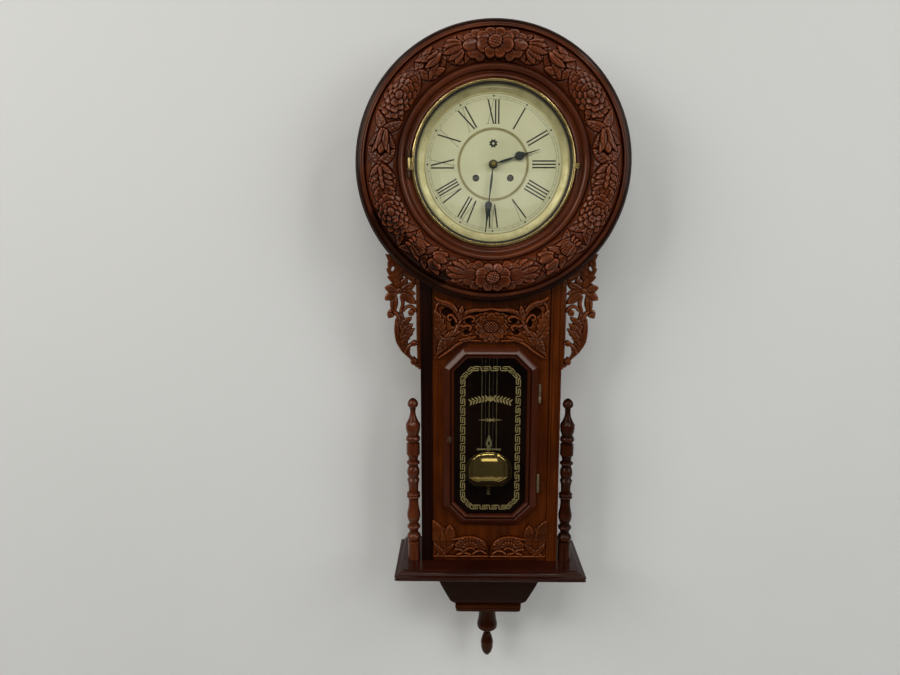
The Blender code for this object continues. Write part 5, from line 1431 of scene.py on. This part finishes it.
def hand(name, marks, angle, depths, boss, body, replaced):
    """A hand from (distance, half width) marks, bevelled from its middle line to its edges."""
    back, edge, crest = depths
    profile = []
    for (d0, w0), (d1, w1) in zip(marks, marks[1:]):
        for k in range(5):
            share = k / 5.0
            profile.append((d0 + (d1 - d0) * share, w0 + (w1 - w0) * eased(share)))
    profile.append(marks[-1])
    rings = []
    for distance, half in profile:
        section = ((-half, back), (-half, edge), (-0.35 * half, crest), (0.35 * half, crest), (half, edge),
                   (half, back))
        places = [(turned_place(angle, across, distance), depth) for across, depth in section]
        rings.append([(x, depth, z) for (x, z), depth in places])
    outer, bore = boss
    collar = [(bore, back - 0.2), (outer, back - 0.2), (outer, crest - 0.1), (outer - 0.8, crest + 0.25),
              (bore, crest + 0.25)]
    add_piece(name, joined([loft(rings), turned_to_room(collar, 40)]), hand_steel, body, "blued_steel",
              [replaced], 28.0)


def hands():
    """Spade hands at nearly half past two."""
    hour = [(4.0, 1.0), (9.0, 1.1), (16.0, 2.0), (28.0, 2.1), (35.5, 1.0), (37.0, 1.1), (38.4, 3.6),
            (41.5, 6.6), (46.0, 7.2), (50.5, 5.2), (56.0, 2.0), (61.0, 1.1), (79.0, 0.6)]
    minute = [(4.0, 0.8), (10.0, 0.9), (22.0, 1.9), (34.0, 2.0), (50.0, 1.1), (58.5, 0.9), (60.0, 1.0),
              (61.4, 3.6), (64.0, 5.6), (68.0, 5.8), (75.0, 4.4), (84.0, 2.4), (94.0, 1.3), (112.0, 0.7)]
    hand("spade_hour_hand", hour, 72.8, (114.7, 115.2, 115.75), (7.4, 4.85), "hour", "hour_hand")
    hand("spade_minute_hand", minute, 186.3, (117.6, 118.1, 118.6), (5.8, 2.55), "minute", "minute_hand")


bezel()
sight_and_centre_rings()
dial_printing()
winding_grommets()
hands()


# Pendulum


def bob():
    """A polished bob: a dome over a flat foot with its corners taken off."""
    shoulder = BOB_BOTTOM + 30.0
    middle = (BOB_TOP + BOB_BOTTOM) / 2.0
    steps = 44
    outline = []
    for i in range(steps + 1):
        angle = math.pi * i / steps
        rise = (BOB_TOP - shoulder) * math.sin(angle) ** 0.9
        outline.append((44.5 * math.cos(angle), shoulder + rise))
    foot = [(44.3, shoulder - 7.0), (43.5, shoulder - 13.6), (40.0, shoulder - 18.6),
            (26.4, BOB_BOTTOM + 0.2), (25.0, BOB_BOTTOM)]
    outline += [(-x, z) for x, z in foot] + foot[::-1]
    sections = [(44.1, 0.965), (44.6, 0.99), (45.6, 1.0), (50.4, 1.0), (51.8, 0.992), (52.6, 0.975),
                (52.8, 0.962), (52.7, 0.95)]
    for i in range(12):
        share = 0.94 * (1.0 - (i + 0.2) / 12.2)
        sections.append((60.0 - 7.0 * share ** 2.3, share))
    rings = []
    for depth, share in sections:
        rings.append([(x * share, depth, middle + (z - middle) * share) for x, z in outline])
    add_piece("polished_bob", loft(rings), polished_brass, "bob", "brass", ["pendulum_bob"], 38.0)


def pendulum_rod(x, radius, foot, sides):
    return rod([(x, PENDULUM_DEPTH, foot), (x, PENDULUM_DEPTH, UPPER_BAR)], radius, sides)


def pendulum_grid():
    """Brass rods between two bars with ball ends, and the strap that carries the bob and its nut."""
    parts = []
    for z, half in ((UPPER_BAR, 21.5), (LOWER_BAR, 23.5)):
        parts.append(rod([(-half + 2.0, PENDULUM_DEPTH, z), (half - 2.0, PENDULUM_DEPTH, z)], 1.8, 16))
        for side in (-1, 1):
            parts.append(sphere((side * (half - 3.0), PENDULUM_DEPTH, z), 3.0))
    parts += [pendulum_rod(x, 0.95, LOWER_BAR, 16) for x in (-13.7, 13.7)]
    parts.append(pendulum_rod(0.0, 0.9, SPIRE_FOOT + 28.5, 16))
    foot = BOB_BOTTOM - 16.0
    strap = (((42.5, 49.0), (LOWER_BAR - 1.5, LOWER_BAR + 1.5)), ((42.5, 43.7), (foot, LOWER_BAR + 1.0)),
             ((42.5, 52.0), (foot, foot + 2.0)))
    for depth, z in strap:
        parts.append(box((-3.0, 3.0), depth, z))
    parts.append(turned_upright([(1.2, foot + 1.0), (1.2, BOB_BOTTOM - 2.5)], 12, 0.0, PENDULUM_DEPTH))
    add_piece("grid_rods", joined(parts), rod_brass, "pendulum", "brass", ["pendulum_grid"], 40.0)
    steel = [pendulum_rod(x, 0.5, LOWER_BAR + 1.5, 12) for x in (-6.9, 6.9)]
    add_piece("grid_steel_rods", joined(steel), plain_steel, "pendulum", "blued_steel", [], 40.0)


def spire():
    """A slender leaf with a small opening, standing on the lower bar."""
    edge = [(3.0, 0.0), (4.6, 3.4), (5.5, 7.0), (5.5, 10.0), (4.6, 14.0), (2.5, 20.5), (0.5, 26.6)]
    outer = edge + [(-x, z) for x, z in reversed(edge)]
    turns = [TURN * (i + 0.5) / len(outer) for i in range(len(outer))]
    inner = [(2.0 * math.sin(turn), 9.6 - 3.6 * math.cos(turn)) for turn in turns]
    sections = ((outer, 48.9, 1.0), (outer, 50.6, 1.0), (outer, 51.2, 0.88), (inner, 51.2, 1.1),
                (inner, 50.8, 1.0), (inner, 48.9, 1.0))
    rings = []
    for shape, depth, scale in sections:
        rings.append([(x * scale, depth, SPIRE_FOOT + 10.0 + (z - 10.0) * scale) for x, z in shape])
    add_piece("spire", loft(rings, True), satin_brass, "pendulum", "brass", ["pendulum_spire"], 30.0)


bob()
pendulum_grid()
spire()


# Finishes of the solids that show as they are


FINISHES = {
    panel_wood: ["trunk_panel", "case_side_left", "case_side_right"],
    pilaster_wood: ["pilaster_right"],
    # The left pilaster is painted dark as a shadow.
    pilaster_painted_shadow: ["pilaster_left"],
    dull_wood: ["gong_block", "movement_seat"],
    # The backboard and drum are painted near black as the shade inside the case.
    shaded_inside: ["backboard", "head_drum"],
    brass: ["hand_nut", "rating_nut"],
    hinge_stain: ["door_hinge_upper", "door_hinge_lower"],
    hinge_brass: ["door_knuckle_upper", "door_knuckle_lower"],
    patina: ["bezel_hinge", "door_knob"],
    dull_brass: ["movement_back_plate", "movement_front_plate", "suspension_cock", "centre_arbor",
                 "third_wheel", "escape_wheel", "minute_wheel", "hour_wheel", "strike_wheel", "time_barrel",
                 "strike_barrel"],
    plain_steel: ["hanger_plate", "gong_coil", "hammer", "pallet_crutch", "suspension_spring",
                  "pendulum_hanger", "time_winding_arbor", "strike_winding_arbor"],
    dial_paint: ["dial_plate"],
    glass: ["door_glass"],
}

for finish, names in FINISHES.items():
    for name in names:
        mesh = NODES[name].data
        mesh.materials.clear()
        mesh.materials.append(finish)


# Wall, floor, light and camera


def backdrop_material(name, light, shade, one_sided):
    """Matt paint, darker towards the top as painted shade and paler low down as painted light; a one-sided
    one lets a view from behind through.
    """
    made, tree, shader = blank_material(name)
    place = own_place(tree)
    uneven = noise(tree, place, 1.2, 4.0, 0.5)
    height = node(tree, "ShaderNodeSeparateXYZ", {"Vector": place}).outputs["Z"]
    # Painted light and shade by height, against the uneven fall of the lamps on the wall.
    painted_light_and_shade = mixed(tree, spread(tree, height, -1.1, 0.5), light, shade)
    link(tree, mixed(tree, spread(tree, uneven, 0.3, 0.7, 0.0, 0.2), painted_light_and_shade, shade), shader, "Base Color")
    shader.inputs["Roughness"].default_value = 0.8
    if one_sided:
        through = node(tree, "ShaderNodeBsdfTransparent")
        facing = node(tree, "ShaderNodeNewGeometry").outputs["Backfacing"]
        both = node(tree, "ShaderNodeMixShader", {0: facing, 1: shader.outputs["BSDF"],
                                                  2: through.outputs["BSDF"]})
        link(tree, both.outputs["Shader"], tree.nodes["Material Output"], "Surface")
    return made


def plane(name, corners, material, faces=((0, 1, 2, 3),)):
    mesh = bpy.data.meshes.new(name)
    mesh.from_pydata(corners, [], faces)
    mesh.materials.append(material)
    made = bpy.data.objects.new(name, mesh)
    bpy.context.scene.collection.objects.link(made)


def wall(material):
    """The wall in metres, left open behind the clock so that light reaches its back in views from behind."""
    gap, head, steps = 0.0012, 0.160, 24
    half_wall, above, below, middle = 5.0, 3.6, 1.8, -0.1
    turns = [math.radians(132.0) * i / steps for i in range(steps + 1)]
    edge = [(head * math.sin(turn), head * math.cos(turn)) for turn in turns]
    edge += [(0.118, -0.715), (0.094, -0.724), (0.058, -0.790)]
    edge += [(-x, z) for x, z in reversed(edge[1:])]
    outer = []
    for x, z in edge:
        rise = z - middle
        limit = above if rise > 0.0 else below
        reach = min(half_wall / max(abs(x), 1e-6), limit / max(abs(rise), 1e-6))
        outer.append((x * reach, middle + rise * reach))
    count = len(edge)
    afters = [(i + 1) % count for i in range(count)]
    faces = [(i, after, after + count, i + count) for i, after in enumerate(afters)]
    plane("wall", [(x, gap, z) for x, z in edge + outer], material, faces)


def area_light(name, place, target, size, power, colour):
    data = bpy.data.lights.new(name, "AREA")
    data.shape = "RECTANGLE"
    data.size, data.size_y = size
    data.energy = power
    data.color = colour
    made = bpy.data.objects.new(name, data)
    made.location = place
    aim = Vector(target) - Vector(place)
    made.rotation_euler = aim.to_track_quat("-Z", "Y").to_euler()
    bpy.context.scene.collection.objects.link(made)


# name, place, target, size, power and colour of each area light
LIGHTS = [
    ("window", (-2.1, -1.7, 0.9), (0.0, 0.0, -0.45), (1.5, 1.5), 38.5, (1.0, 0.985, 0.955)),
    ("far_window", (2.2, -1.9, 0.6), (0.0, 0.0, -0.5), (1.5, 1.5), 31.0, (0.97, 0.985, 1.0)),
    ("ceiling", (0.0, -2.1, 1.66), (0.0, -0.1, -0.35), (1.4, 0.5), 15.0, (1.0, 0.99, 0.97)),
    ("doorway", (0.2, -3.4, 0.02), (0.0, 0.0, -0.5), (1.5, 0.46), 4.4, (1.0, 0.96, 0.90)),
    ("back_window", (-0.8, 2.3, 0.7), (0.0, 0.0, -0.35), (1.6, 1.6), 36.0, (1.0, 0.99, 0.97)),
    ("lamp", (1.3, -1.5, 1.5), (0.0, 0.0, -0.1), (0.35, 0.35), 6.0, (1.0, 0.97, 0.92)),
    ("far_lamp", (-1.1, -1.5, 1.6), (0.0, 0.0, -0.1), (0.35, 0.35), 4.5, (1.0, 0.98, 0.95)),
]


def studio():
    wall(backdrop_material("wall_paint", (0.83, 0.84, 0.83), (0.61, 0.615, 0.595), True))
    corners = [(-4.0, -2.0, -1.9), (4.0, -2.0, -1.9), (4.0, 2.0, -1.9), (-4.0, 2.0, -1.9)]
    plane("floor", corners, backdrop_material("floor_paint", (0.62, 0.61, 0.59), (0.58, 0.57, 0.55), False))
    for light in LIGHTS:
        area_light(*light)
    world = bpy.data.worlds.new("room")
    world.use_nodes = True
    background = world.node_tree.nodes["Background"]
    background.inputs["Color"].default_value = (1.0, 0.94, 0.87, 1.0)
    background.inputs["Strength"].default_value = 0.06
    bpy.context.scene.world = world


def camera():
    """A wide lens close in front of the clock, a little left of it and tilted down."""
    data = bpy.data.cameras.new("camera")
    data.sensor_width = 36.0
    data.lens = 26.24
    made = bpy.data.objects.new("camera", data)
    made.location = (-0.0550, -1.2271, -0.1196)
    made.rotation_euler = (math.radians(90.0 - 8.66), 0.0, math.radians(0.84))
    bpy.context.scene.collection.objects.link(made)
    bpy.context.scene.camera = made


studio()
camera()
bpy.context.scene.view_settings.view_transform = "Standard"
